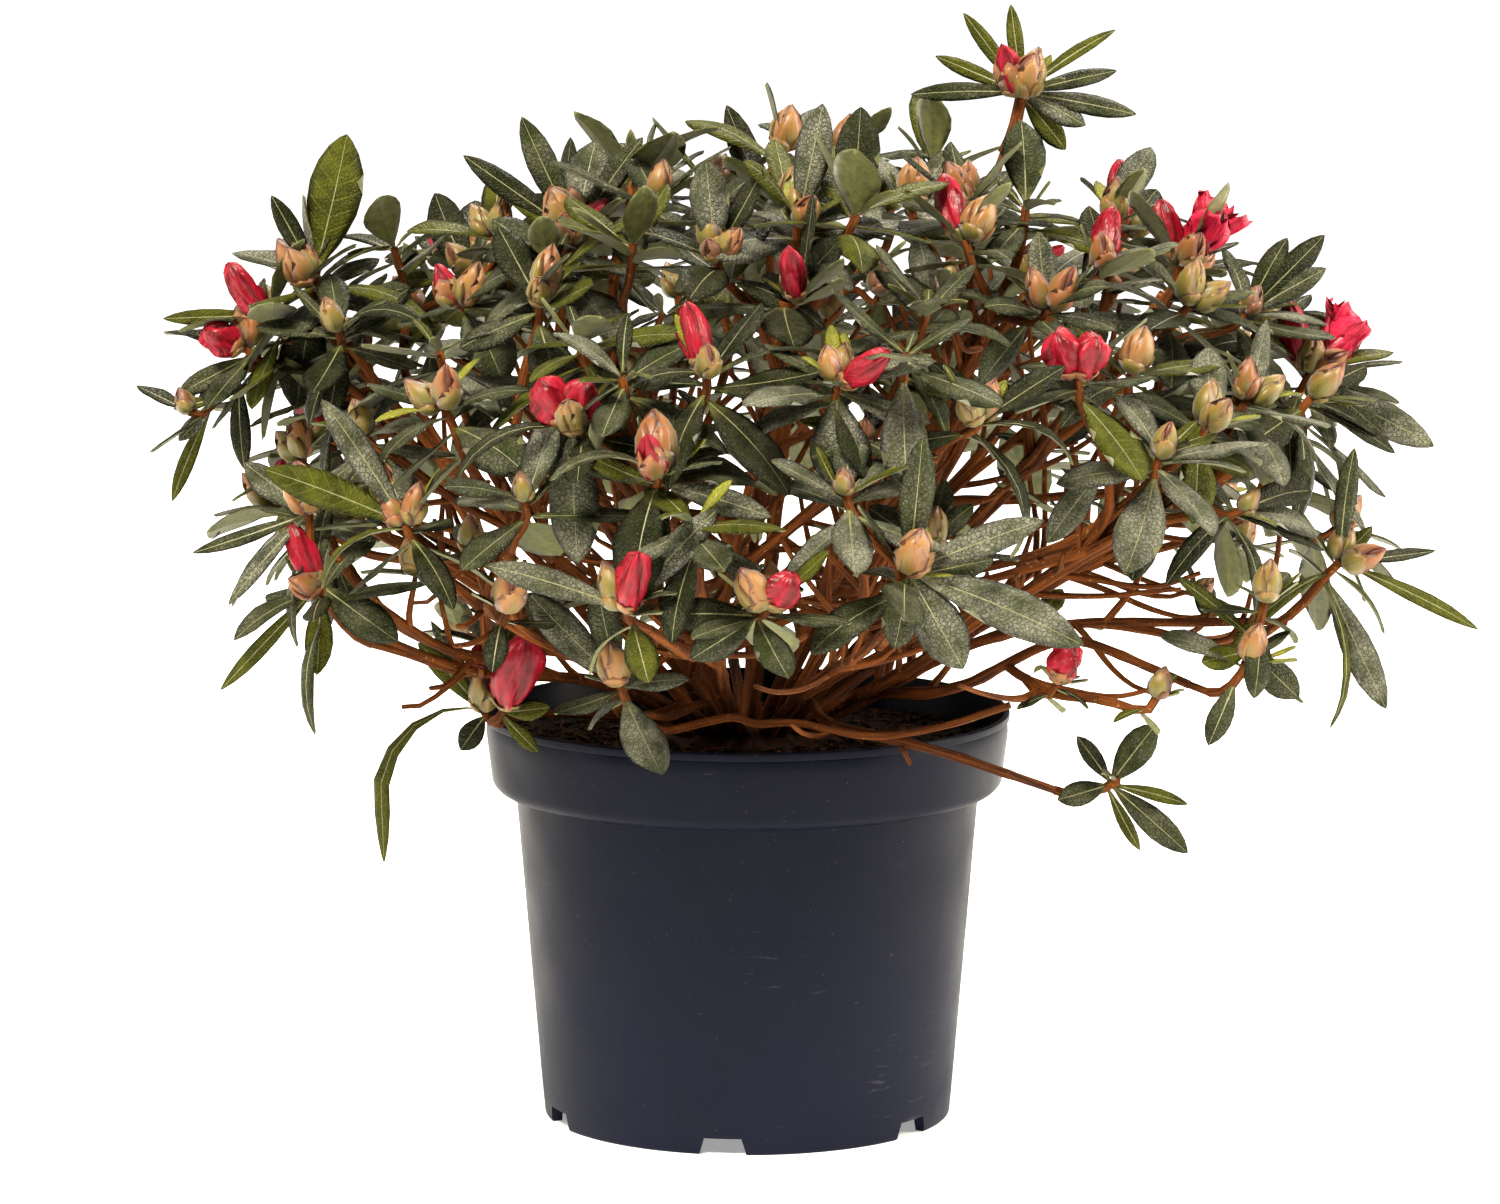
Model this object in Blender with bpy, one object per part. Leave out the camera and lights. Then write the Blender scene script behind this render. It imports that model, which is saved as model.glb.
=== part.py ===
"""Potted azalea shrub, in metres, +Z up, with its origin under the middle of the pot.

The front of the plant looks along -Y. A woody root crown lies on the soil, and one limb leaves it for
each mass of foliage. A limb is a bough that ends where it enters its mass, or, on a long low runner, it is
the stem of the mass itself. Each mass is one solid: a stem that forks into twigs, and each twig ends in a
whorl of leaves round its buds.
"""

import math
import random
from typing import NamedTuple

import bmesh
import bpy
from mathutils import Quaternion, Vector
from mathutils.bvhtree import BVHTree

GAP = 0.0003  # clearance between pieces that meet
UP = Vector((0, 0, 1))
GOLDEN_ANGLE = math.radians(137.5)
SHARP_ANGLE = math.radians(40)

# ---- the pot: a nursery pot with a deep collar and a castellated foot
POT_HEIGHT = 0.148
RIM_RADIUS = 0.095
COLLAR_HEIGHT = 0.029
COLLAR_FOOT_RADIUS = 0.0925
COLLAR_ROUNDING = 0.007
COLLAR_DROP = 0.0056  # height of that rounding
BODY_TOP_RADIUS = 0.0838
BASE_RADIUS = 0.0738
WALL = 0.0018
LIP = 0.0028
FOOT_HEIGHT = 0.0065
FOOT_WIDTH = 0.004
PAD_RADIUS = 0.040  # the flat middle of the floor, which stands on the ground
POT_SIDES = 40
NOTCHES = 6
NOTCH_TURN = math.radians(-6.8)
NOTCH_WIDTH = 0.0135
NOTCH_FLARE = 1.35  # how much wider a notch is at the ground

# ---- the soil and the root crown that lies on it
SOIL_DEPTH_BELOW_RIM = 0.012
SOIL_TOP = POT_HEIGHT - SOIL_DEPTH_BELOW_RIM
SOIL_MOUND = 0.004
STOOL_RADIUS = 0.034
STOOL_HEIGHT = 0.010
STOOL_SIDES = 14

# ---- limbs
LIMB_FOOT_RADIUS = 0.0027
LIMB_TIP_RADIUS = 0.0017
RUNNER_FOOT_RADIUS = 0.0022
RUNNER_TIP_RADIUS = 0.0014
LIMB_STEPS = 5
LIMB_SIDES = 5
STEEP, SHALLOW = 60, 38  # elevations, in degrees, that part the tiers of limbs
TIERS = ((0.014, 66), (0.028, 50), (0.043, 30))  # radius of each ring of feet, and the angle of its stubs
HEART_SHARE = 0.6  # share of that radius at which a stub starts inside the root crown
HEART_HEIGHT = 0.0042

# ---- foliage
CROWN_CENTRE = Vector((0.015, 0, 0.20))
CROWN_RADII = Vector((0.205, 0.175, 0.148))  # of the ellipsoid on which the shoots end
SKIRT_HEIGHT = 0.185  # under it stand only leading shoots and what is level with them
SHOOT_SPACING = 0.042
SHOOT_TRIALS = 40
LEVELLING = 0.05  # distance from its leading shoot at which a mass is back on the ellipsoid
FORK_SHARE = 0.3  # how far along the depth of a mass its stem forks
TWIG_RADIUS = 0.0013
TWIG_STEPS = 2
TWIG_SIDES = 3
LEAVES = 6  # in a whorl, one from each side of its bud
LEAF_LENGTH = 0.045
LEAF_WIDTH = 0.42  # share of its length
LEAF_THICKNESS = 0.0011
LEAF_SINK = 0.0008
LEAF_TRIALS = ((1.0, 1.0), (0.8, 1.0), (1.0, 0.6), (0.75, 0.6))  # shares of length and lean, until one fits
BUD_LENGTH = 0.017
BUD_RADIUS = 0.0052
BUD_SINK = 0.006
BLOOM_SHARE = 0.25  # share of the shoots whose flower buds have begun to open
BLOOM_SCALE = 1.45
CLEARANCE = 0.0010  # of a twig or leaf from the wood of another mass
SPACE_MARGIN = 0.0012  # of a leaf from the space of another mass
RIM_MARGIN = 0.004  # of a limb or leaf from the rim of the pot
RIM_DROP = 0.7  # slope at which a limb may sink once it is past the rim


class Mass(NamedTuple):
    """One mass of foliage, placed by its leading shoot."""

    name: str
    azimuth: float  # degrees from the front, towards +X
    reach: float  # distance of the leading shoot from the pot's axis
    height: float
    depth: float  # from the end of its limb to the leading shoot
    size: float  # how far its shoots spread round the leading one
    bough: bool = True
    bend: float = 0  # from the azimuth of its leading shoot to that of its foot, degrees


class Shoot(NamedTuple):
    """The end of a twig, where a whorl of leaves stands round the buds."""

    mass: str
    number: int
    tip: Vector
    axis: Vector
    side: Vector  # the direction of its first leaf


MASSES = (
    Mass("leader", 90, 0.099, 0.377, 0.040, 0.000, False),
    Mass("crown_left", -63, 0.067, 0.334, 0.050, 0.060),
    Mass("crown_front", 12, 0.088, 0.338, 0.050, 0.060),
    Mass("crown_right", 60, 0.112, 0.335, 0.050, 0.060),
    Mass("crown_back", 174, 0.085, 0.325, 0.055, 0.070),
    Mass("shoulder_right", 85, 0.164, 0.318, 0.050, 0.060),
    Mass("right_high", 88, 0.211, 0.282, 0.055, 0.060),
    Mass("front_right_high", 54, 0.186, 0.270, 0.050, 0.060),
    Mass("front_high", 20, 0.155, 0.293, 0.050, 0.060),
    Mass("front_left_high", -16, 0.152, 0.285, 0.050, 0.060),
    Mass("left_front_high", -44, 0.158, 0.281, 0.050, 0.060),
    Mass("left_high", -88, 0.160, 0.310, 0.055, 0.060),
    Mass("left_front", -41, 0.178, 0.240, 0.050, 0.060),
    Mass("left_low", -55, 0.184, 0.213, 0.050, 0.055),
    Mass("front_middle", -6, 0.175, 0.240, 0.050, 0.060),
    Mass("front_right", 18, 0.182, 0.228, 0.045, 0.060),
    Mass("right_tip", 78, 0.222, 0.217, 0.055, 0.060),
    Mass("right_low", 54, 0.200, 0.190, 0.045, 0.055),
    Mass("low_left", -60, 0.110, 0.172, 0.045, 0.040, False, 32),
    Mass("low_front", -22, 0.120, 0.185, 0.040, 0.036, False),
    Mass("runner", 57, 0.154, 0.137, 0.026, 0.000, False, -28),
    Mass("back_left_high", -135, 0.135, 0.295, 0.055, 0.070),
    Mass("back_right_high", 128, 0.135, 0.302, 0.055, 0.070),
    Mass("back_left", -112, 0.172, 0.246, 0.055, 0.070),
    Mass("back_middle_left", -157, 0.168, 0.242, 0.055, 0.070),
    Mass("back_middle_right", 158, 0.172, 0.242, 0.055, 0.070),
    Mass("back_right", 117, 0.198, 0.238, 0.055, 0.070),
    Mass("back_low", -176, 0.150, 0.180, 0.050, 0.060, False),
)

COLOURS = {
    "pot": ((0.020, 0.026, 0.045), 0.42),
    "soil": ((0.018, 0.010, 0.006), 0.95),
    "bark": ((0.120, 0.045, 0.022), 0.80),
    "foliage": ((0.050, 0.075, 0.035), 0.55),
}


# ---------------------------------------------------------------- objects and materials
def make_material(name):
    colour, roughness = COLOURS[name]
    material = bpy.data.materials.new(name)
    material.use_nodes = True
    shader = material.node_tree.nodes["Principled BSDF"]
    shader.inputs["Base Color"].default_value = (*colour, 1)
    shader.inputs["Roughness"].default_value = roughness
    shader.inputs["Metallic"].default_value = 0
    return material


def make_object(name, bm, material=None):
    """An object in the scene that holds what bm holds. It frees bm."""
    mesh = bpy.data.meshes.new(name)
    bmesh.ops.recalc_face_normals(bm, faces=bm.faces)
    bm.to_mesh(mesh)
    bm.free()
    if material:
        mesh.materials.append(material)
    made = bpy.data.objects.new(name, mesh)
    bpy.context.scene.collection.objects.link(made)
    return made


def smooth(made):
    """Shades a round piece smooth, up to its real edges."""
    made.data.shade_smooth()
    made.data.set_sharp_from_angle(angle=SHARP_ANGLE)
    return made


def fuse(base, others):
    """Joins the other objects to base by one Boolean union, and removes them."""
    group = bpy.data.collections.new(base.name + "_parts")
    bpy.context.scene.collection.children.link(group)
    for other in others:
        bpy.context.scene.collection.objects.unlink(other)
        group.objects.link(other)
    union = base.modifiers.new("union", "BOOLEAN")
    union.operation = "UNION"
    union.operand_type = "COLLECTION"
    union.collection = group
    union.solver = "MANIFOLD"
    graph = bpy.context.evaluated_depsgraph_get()
    joined = bpy.data.meshes.new_from_object(base.evaluated_get(graph))
    base.modifiers.clear()
    base.data = joined
    for other in others:
        bpy.data.objects.remove(other)
    bpy.data.collections.remove(group)
    return base


# ---------------------------------------------------------------- shapes
def turned(profile, sides):
    """A closed body of revolution about Z. The profile is closed, or starts and ends on the axis."""
    bm = bmesh.new()
    rings = []
    for radius, height in profile:
        if radius == 0:
            rings.append([bm.verts.new((0, 0, height))])
            continue
        angles = (math.tau * i / sides for i in range(sides))
        rings.append([bm.verts.new((radius * math.cos(a), radius * math.sin(a), height)) for a in angles])
    pairs = list(zip(rings, rings[1:]))
    if profile[0][0] != 0:
        pairs.append((rings[-1], rings[0]))
    for low, high in pairs:
        for i in range(sides):
            corners = [low[i % len(low)], low[(i + 1) % len(low)], high[(i + 1) % len(high)], high[i % len(high)]]
            bm.faces.new(dict.fromkeys(corners))
    return bm


def tube(points, radii, sides):
    """A closed tapering tube along points, with a flat cap at each end."""
    bm = bmesh.new()
    tangents = [(after - before).normalized() for before, after in
                zip([points[0], *points[:-1]], [*points[1:], points[-1]])]
    side = tangents[0].orthogonal().normalized()
    rings = []
    for i, (point, tangent, radius) in enumerate(zip(points, tangents, radii)):
        if i:
            side = tangents[i - 1].rotation_difference(tangent) @ side
        across = tangent.cross(side)
        angles = (math.tau * k / sides for k in range(sides))
        rings.append([bm.verts.new(point + radius * (side * math.cos(a) + across * math.sin(a))) for a in angles])
    for low, high in zip(rings, rings[1:]):
        for i in range(sides):
            bm.faces.new((low[i], low[(i + 1) % sides], high[(i + 1) % sides], high[i]))
    bm.faces.new(rings[0][::-1])
    bm.faces.new(rings[-1])
    return bm


def leaf_points(root, spoke, axis, lean, length):
    """The corners of a leaf that leans from its shoot: its root, tip and two sides, and the ridge of its face."""
    direction = (axis * math.cos(lean) + spoke * math.sin(lean) - UP * 0.10).normalized()
    face = (axis - direction * axis.dot(direction)).normalized()
    root = root - direction * LEAF_SINK
    across = direction.cross(face).normalized() * (LEAF_WIDTH * length / 2)
    middle = root + direction * (0.55 * length)
    tip = root + direction * length - face * (0.10 * length)
    return [root, tip, middle - across, middle + across, middle + face * LEAF_THICKNESS]


def leaf(corners):
    """A leaf with a flat back and a ridged face."""
    bm = bmesh.new()
    root, tip, left, right, ridge = (bm.verts.new(corner) for corner in corners)
    bm.faces.new((root, left, right))
    bm.faces.new((tip, right, left))
    for start, end in ((root, left), (left, tip), (tip, right), (right, root)):
        bm.faces.new((end, start, ridge))
    return bm


def bud(shoot, scale):
    """The buds at the end of a shoot: a spindle with a side for each leaf of the whorl."""
    length, radius = BUD_LENGTH * scale, BUD_RADIUS * (1 + scale) / 2
    bm = bmesh.new()
    bottom = bm.verts.new(shoot.tip - shoot.axis * BUD_SINK)
    top = bm.verts.new(shoot.tip + shoot.axis * length)
    spokes = (Quaternion(shoot.axis, math.tau * (k + 0.5) / LEAVES) @ shoot.side for k in range(LEAVES))
    ring = [bm.verts.new(shoot.tip + shoot.axis * (length / 2) + spoke * radius) for spoke in spokes]
    for k in range(LEAVES):
        bm.faces.new((ring[k], ring[(k + 1) % LEAVES], top))
        bm.faces.new((ring[(k + 1) % LEAVES], ring[k], bottom))
    return bm


# ---------------------------------------------------------------- the growth rule
def on_circle(azimuth, radius, height):
    """The point at an azimuth, in degrees from the front, that far from the pot's axis."""
    angle = math.radians(azimuth)
    return Vector((radius * math.sin(angle), -radius * math.cos(angle), height))


def lead_of(mass):
    """Where the leading shoot of a mass ends."""
    return on_circle(mass.azimuth, mass.reach, mass.height)


def out_of(mass):
    """The direction in which a mass faces, out from the heart of the crown."""
    return (lead_of(mass) - Vector((0, 0, SOIL_TOP + 0.03))).normalized()


def hub_of(mass):
    """Where the limb of a mass ends, and its stem starts."""
    return lead_of(mass) - (out_of(mass) * 0.65 + UP * 0.35).normalized() * mass.depth


def tier_of(mass):
    """Which ring of the root crown a limb leaves: the inner one when it climbs steeply."""
    elevation = math.degrees(math.atan2(mass.height - SOIL_TOP, mass.reach))
    return 0 if elevation > STEEP else 1 if elevation > SHALLOW else 2


def spread_apart(angles, gap):
    """The sorted angles of a full turn, in degrees, moved until no two are closer than gap."""
    angles = list(angles)
    for _ in range(200):
        for i in range(len(angles)):
            after = (i + 1) % len(angles)
            apart = (angles[after] - angles[i]) % 360
            if apart < gap:
                angles[i] -= (gap - apart) / 2
                angles[after] += (gap - apart) / 2
    return angles


def limb_feet():
    """(heart, start, direction) of each limb: where its stub starts in the root crown, and where the limb does."""
    feet = {}
    for tier, (ring, rise) in enumerate(TIERS):
        members = sorted((m for m in MASSES if tier_of(m) == tier), key=lambda m: (m.azimuth + m.bend) % 360)
        gap = math.degrees(3.2 * LIMB_FOOT_RADIUS / ring)
        angles = spread_apart([(m.azimuth + m.bend) % 360 for m in members], gap)
        slope = math.radians(rise)
        for mass, angle in zip(members, angles):
            outward = on_circle(angle, 1, 0)
            direction = outward * math.cos(slope) + UP * math.sin(slope)
            heart = outward * (ring * HEART_SHARE) + UP * (SOIL_TOP + SOIL_MOUND + HEART_HEIGHT)
            length = ring * (1 - HEART_SHARE) / math.cos(slope)
            feet[mass.name] = (heart, heart + direction * length, direction)
    return feet


def curve_between(start, leaving, end, arriving, steps):
    """Points on a cubic from start to end with those two directions."""
    handle = 0.38 * (end - start).length
    first, second = start + leaving * handle, end - arriving * handle
    points = []
    for i in range(steps + 1):
        t = i / steps
        s = 1 - t
        points.append(start * s**3 + first * 3 * s * s * t + second * 3 * s * t * t + end * t**3)
    return points


def limb_path(mass, foot):
    """The centreline of a mass's limb, from its foot on the root crown, over the rim of the pot, to its hub."""
    _, start, leaving = foot
    end = hub_of(mass)
    arriving = (end - start).normalized() + 0.7 * out_of(mass) + 0.3 * UP
    points = curve_between(start, leaving, end, arriving.normalized(), LIMB_STEPS)
    for point in points[2:]:
        past = max(0, math.hypot(point.x, point.y) - RIM_RADIUS - RIM_MARGIN)
        point.z = max(point.z, POT_HEIGHT + RIM_MARGIN - RIM_DROP * past)
    return [start, start + leaving * (2 * LIMB_FOOT_RADIUS), *points[1:]]


def tapered(first, last, count):
    return [first + (last - first) * i / (count - 1) for i in range(count)]


def limb_radii(mass):
    if mass.bough:
        return tapered(LIMB_FOOT_RADIUS, LIMB_TIP_RADIUS, LIMB_STEPS + 2)
    return tapered(RUNNER_FOOT_RADIUS, RUNNER_TIP_RADIUS, LIMB_STEPS + 2)


def level_of(point):
    """How far out a point is from the middle of the crown, as a share of the ellipsoid."""
    offset = point - CROWN_CENTRE
    return Vector(offset[i] / CROWN_RADII[i] for i in range(3)).length


def make_shoot(mass, number, tip, dice):
    """A shoot that ends at tip, pointing up and, on the flank of the crown, outward."""
    outward = Vector((tip.x, tip.y, 0)) / 0.2
    sway = Vector([dice.uniform(-0.25, 0.25) for _ in range(3)])
    axis = (UP + outward * (0.5 - 1.3 * (tip.z - 0.25)) + sway).normalized()
    side = Quaternion(axis, dice.uniform(0, math.tau)) @ axis.orthogonal().normalized()
    return Shoot(mass, number, tip, axis, side)


def all_shoots():
    """The leading shoot of each mass, then those round it, each nearest its own leader and clear of the rest."""
    leads = {mass.name: lead_of(mass) for mass in MASSES}
    shoots = [make_shoot(name, 0, lead, random.Random(name)) for name, lead in leads.items()]
    for mass in MASSES:
        lead = leads[mass.name]
        across = out_of(mass).cross(UP).normalized()
        rise = across.cross(out_of(mass))
        for i in range(1, SHOOT_TRIALS):
            dice = random.Random(f"{mass.name} shoot {i}")
            away = mass.size * math.sqrt(i / SHOOT_TRIALS)
            near = lead + (across * math.cos(i * GOLDEN_ANGLE) + rise * math.sin(i * GOLDEN_ANGLE)) * away
            level = level_of(lead) + (1 - level_of(lead)) * min(1, away / LEVELLING) + dice.uniform(-0.08, 0.03)
            tip = CROWN_CENTRE + (near - CROWN_CENTRE) * (level / level_of(near))
            own = min(leads, key=lambda name: (leads[name] - tip).length) == mass.name
            apart = min((shoot.tip - tip).length for shoot in shoots)
            if own and apart > SHOOT_SPACING and tip.z > min(SKIRT_HEIGHT, mass.height - 0.010):
                shoots.append(make_shoot(mass.name, i, tip, dice))
    return shoots


def in_space(points, name, shoots):
    """Whether points lie nearer to the shoots of a mass than to any other's, and outside the pot."""
    for point in points:
        near = {True: math.inf, False: math.inf}
        for shoot in shoots:
            own = shoot.mass == name
            near[own] = min(near[own], (shoot.tip - point).length)
        if near[False] - near[True] < 2 * SPACE_MARGIN:
            return False
        if math.hypot(point.x, point.y) < RIM_RADIUS + RIM_MARGIN and point.z < POT_HEIGHT + RIM_MARGIN:
            return False
    return True


def whorl(shoot):
    """(root, spoke, lean, length) of the leaves round the end of a shoot, the lowest ones spreading most."""
    dice = random.Random(f"{shoot.mass} whorl {shoot.number}")
    made = []
    for k in range(LEAVES):
        share = k / (LEAVES - 1)
        place = 2 * k if k < LEAVES / 2 else 2 * k + 1
        spoke = Quaternion(shoot.axis, math.tau * place / LEAVES + dice.uniform(-0.12, 0.12)) @ shoot.side
        lean = math.radians(100 - 60 * share + dice.uniform(-9, 9))
        length = LEAF_LENGTH * (1.05 - 0.25 * share) * dice.uniform(0.85, 1.15)
        made.append((shoot.tip + shoot.axis * (0.001 + 0.006 * share), spoke, lean, length))
    return made


# ---------------------------------------------------------------- the pieces
def make_pot(material):
    """The turned pot, with the notches of its foot and a flat pad under its floor."""
    top, body_top = POT_HEIGHT, POT_HEIGHT - COLLAR_HEIGHT
    inner_base = BASE_RADIUS - WALL
    floor = FOOT_HEIGHT + WALL
    profile = [
        (0, 0), (PAD_RADIUS, 0), (PAD_RADIUS + 0.004, FOOT_HEIGHT), (BASE_RADIUS - FOOT_WIDTH, FOOT_HEIGHT),
        (BASE_RADIUS - FOOT_WIDTH, 0), (BASE_RADIUS, 0), (BODY_TOP_RADIUS, body_top),
        (COLLAR_FOOT_RADIUS - COLLAR_ROUNDING, body_top), (COLLAR_FOOT_RADIUS, body_top + COLLAR_DROP),
        (RIM_RADIUS - 0.0008, top - LIP), (RIM_RADIUS, top - LIP), (RIM_RADIUS, top), (RIM_RADIUS - WALL, top),
        (COLLAR_FOOT_RADIUS - WALL, body_top + COLLAR_ROUNDING), (BODY_TOP_RADIUS - WALL, body_top - WALL),
        (inner_base, floor), (PAD_RADIUS + 0.004 - WALL, floor), (PAD_RADIUS - WALL, WALL), (0, WALL),
    ]
    pot = smooth(make_object("pot", turned(profile, POT_SIDES), material))
    for i in range(NOTCHES):
        bm = bmesh.new()
        bmesh.ops.create_cube(bm, size=1)
        for vertex in bm.verts:
            flare = NOTCH_FLARE if vertex.co.z < 0 else 1
            height = FOOT_HEIGHT - 0.0004 if vertex.co.z > 0 else -0.002
            out = BASE_RADIUS + (0.004 if vertex.co.y < 0 else -FOOT_WIDTH - 0.004)
            vertex.co = (vertex.co.x * NOTCH_WIDTH * flare, -out, height)
        cutter = make_object(f"notch_cutter_{i}", bm)
        cutter.rotation_euler.z = NOTCH_TURN + math.tau * i / NOTCHES
        cutter.hide_render = True
        cutter.display_type = "WIRE"
        cut = pot.modifiers.new(f"notch_{i}", "BOOLEAN")
        cut.operation = "DIFFERENCE"
        cut.object = cutter
    return pot


def make_soil(material):
    """The soil that fills the pot, clear of its wall, with a low mound in the middle."""
    clear = WALL + 2 * GAP
    body_top = POT_HEIGHT - COLLAR_HEIGHT
    edge = COLLAR_FOOT_RADIUS - clear + (RIM_RADIUS - COLLAR_FOOT_RADIUS) * 0.4
    profile = [
        (0, clear), (PAD_RADIUS - clear, clear), (PAD_RADIUS + 0.004 - clear, FOOT_HEIGHT + clear),
        (BASE_RADIUS - clear - 0.0002, FOOT_HEIGHT + clear), (BODY_TOP_RADIUS - clear - 0.0010, body_top - WALL),
        (COLLAR_FOOT_RADIUS - clear - 0.0004, body_top + COLLAR_ROUNDING), (edge - 0.0006, SOIL_TOP - 0.002),
        (0.072, SOIL_TOP), (STOOL_RADIUS + 0.006, SOIL_TOP + SOIL_MOUND), (0, SOIL_TOP + SOIL_MOUND),
    ]
    return smooth(make_object("soil", turned(profile, POT_SIDES // 2), material))


def make_root_crown(feet, material):
    """The low woody crown on the soil, with a stub for each limb."""
    ground = SOIL_TOP + SOIL_MOUND + GAP
    profile = [
        (0, ground), (STOOL_RADIUS, ground), (STOOL_RADIUS * 0.94, ground + STOOL_HEIGHT * 0.35),
        (STOOL_RADIUS * 0.62, ground + STOOL_HEIGHT * 0.8), (0, ground + STOOL_HEIGHT),
    ]
    stool = make_object("root_crown", turned(profile, STOOL_SIDES), material)
    stubs = []
    for mass in MASSES:
        heart, end, direction = feet[mass.name]
        radius = limb_radii(mass)[0]
        stubs.append(make_object("stub", tube([heart, end - direction * GAP], [radius * 1.4, radius], LIMB_SIDES)))
    return smooth(fuse(stool, stubs))


def make_bough(mass, path, material):
    """One tapering limb, from its stub to 0.3 mm short of the stem of its mass."""
    ended = [*path[:-1], path[-1] - (path[-1] - path[-2]).normalized() * GAP]
    return smooth(make_object("bough_" + mass.name, tube(ended, limb_radii(mass), LIMB_SIDES), material))


def stem_of(mass, path):
    """(points, radii) of the stem of a mass, which on a runner is its limb too, up to where it forks."""
    along = (path[-1] - path[-2]).normalized()
    fork = path[-1] + along * (FORK_SHARE * mass.depth)
    radii = limb_radii(mass)
    if mass.bough:
        return [path[-1], fork], [radii[-1], radii[-1] * 0.9]
    return [*path, fork], [*radii, radii[-1] * 0.9]


def twig_of(shoot, stem):
    """(points, radii) of the twig from the fork of a stem to a shoot."""
    points, radii = stem
    along = (points[-1] - points[-2]).normalized()
    twig = curve_between(points[-1] - along * 0.003, along, shoot.tip, shoot.axis, TWIG_STEPS)
    return twig, tapered(radii[-1] * 0.9, TWIG_RADIUS, TWIG_STEPS + 1)


def obstacle(points, radii, sides):
    """A search tree of a piece of wood, thicker by the clearance that others keep from it."""
    return BVHTree.FromBMesh(tube(points, [radius + CLEARANCE for radius in radii], sides))


def touches(bm, name, wood):
    """Whether a shape meets the wood of another mass, or any bough."""
    tree = BVHTree.FromBMesh(bm)
    return any(owner != name and tree.overlap(other) for owner, other in wood)


def grow(paths, shoots):
    """The stem of each mass, its twigs as (shoot, points, radii), and search trees of all the wood."""
    stems = {mass.name: stem_of(mass, paths[mass.name]) for mass in MASSES}
    wood = [(mass.name, obstacle(*stems[mass.name], 4)) for mass in MASSES]
    for mass in MASSES:
        if mass.bough:
            wood.append(("bough", obstacle(paths[mass.name], limb_radii(mass), LIMB_SIDES)))
    twigs = {mass.name: [] for mass in MASSES}
    for shoot in shoots:
        points, radii = twig_of(shoot, stems[shoot.mass])
        if not touches(tube(points, radii, TWIG_SIDES), shoot.mass, wood):
            wood.append((shoot.mass, obstacle(points, radii, TWIG_SIDES)))
            twigs[shoot.mass].append((shoot, points, radii))
    return stems, twigs, wood


def make_leaves(shoot, shoots, wood):
    """The leaves of a whorl that keep to the space of their mass and off the wood."""
    made = []
    for root, spoke, lean, length in whorl(shoot):
        for longer, steeper in LEAF_TRIALS:
            corners = leaf_points(root, spoke, shoot.axis, lean * steeper, length * longer)
            samples = corners[1:] + [(corners[0] + corner) / 2 for corner in corners[1:]]
            blade = leaf(corners)
            if in_space(samples, shoot.mass, shoots) and not touches(blade, shoot.mass, wood):
                made.append(make_object("leaf", blade))
                break
            blade.free()
    return made


def make_mass(mass, stem, twigs, shoots, wood, material):
    """The stem of a mass with its twigs, whorls of leaves and buds, fused into one solid."""
    base = make_object("foliage_" + mass.name, tube(*stem, 4), material)
    pieces = []
    for shoot, points, radii in twigs:
        pieces.append(make_object("twig", tube(points, radii, TWIG_SIDES)))
        opening = random.Random(f"{shoot.mass} bloom {shoot.number}").random() < BLOOM_SHARE
        pieces.append(make_object("bud", bud(shoot, BLOOM_SCALE if opening else 1)))
        pieces += make_leaves(shoot, shoots, wood)
    return fuse(base, pieces)


def main():
    for old in list(bpy.data.objects):
        bpy.data.objects.remove(old)
    materials = {name: make_material(name) for name in COLOURS}
    feet = limb_feet()
    paths = {mass.name: limb_path(mass, feet[mass.name]) for mass in MASSES}
    shoots = all_shoots()
    stems, twigs, wood = grow(paths, shoots)

    make_pot(materials["pot"])
    make_soil(materials["soil"])
    make_root_crown(feet, materials["bark"])
    for mass in MASSES:
        if mass.bough:
            make_bough(mass, paths[mass.name], materials["bark"])
    for mass in MASSES:
        make_mass(mass, stems[mass.name], twigs[mass.name], shoots, wood, materials["foliage"])


main()
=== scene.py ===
"""Looks of a potted azalea shrub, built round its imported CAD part. Metres, +Z up; the front looks along -Y.

The limbs, the shoots and the twigs follow the growth rule of the part's source, which is written again here
and carried further: shoots stand closer, twigs fork on the way, and every shoot carries a full rosette.
"""

import math
import random
from typing import NamedTuple

import bpy
import numpy as np
from mathutils import Matrix, Quaternion, Vector, noise


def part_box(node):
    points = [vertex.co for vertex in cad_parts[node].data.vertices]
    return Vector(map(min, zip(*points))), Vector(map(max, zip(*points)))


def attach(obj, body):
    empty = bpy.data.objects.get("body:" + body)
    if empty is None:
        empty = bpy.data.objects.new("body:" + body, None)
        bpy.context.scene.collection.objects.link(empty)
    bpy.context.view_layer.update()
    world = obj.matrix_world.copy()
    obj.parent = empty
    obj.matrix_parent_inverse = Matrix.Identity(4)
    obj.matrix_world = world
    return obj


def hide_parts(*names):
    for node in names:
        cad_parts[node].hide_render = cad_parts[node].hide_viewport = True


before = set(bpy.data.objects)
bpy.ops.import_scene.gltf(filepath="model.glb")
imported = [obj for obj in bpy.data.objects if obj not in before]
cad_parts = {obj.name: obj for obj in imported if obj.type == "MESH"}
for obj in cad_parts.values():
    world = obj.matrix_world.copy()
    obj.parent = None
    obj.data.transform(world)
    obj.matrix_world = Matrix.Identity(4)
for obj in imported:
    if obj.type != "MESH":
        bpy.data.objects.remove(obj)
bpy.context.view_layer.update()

UP = Vector((0, 0, 1))
NOISE_SEED = 1  # without it Blender starts its vector noise from the clock, and the limbs change at each run
noise.seed_set(NOISE_SEED)
GOLDEN_ANGLE = math.radians(137.5)
MM = 0.001

# ---- the camera: a long lens, a little above the plant
LENS, SENSOR = 147.9, 36.0
CAMERA_PLACE = Vector((0.001, -2.2, 0.516))
CAMERA_TARGET = Vector((0.001, 0, 0.187))

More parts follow.
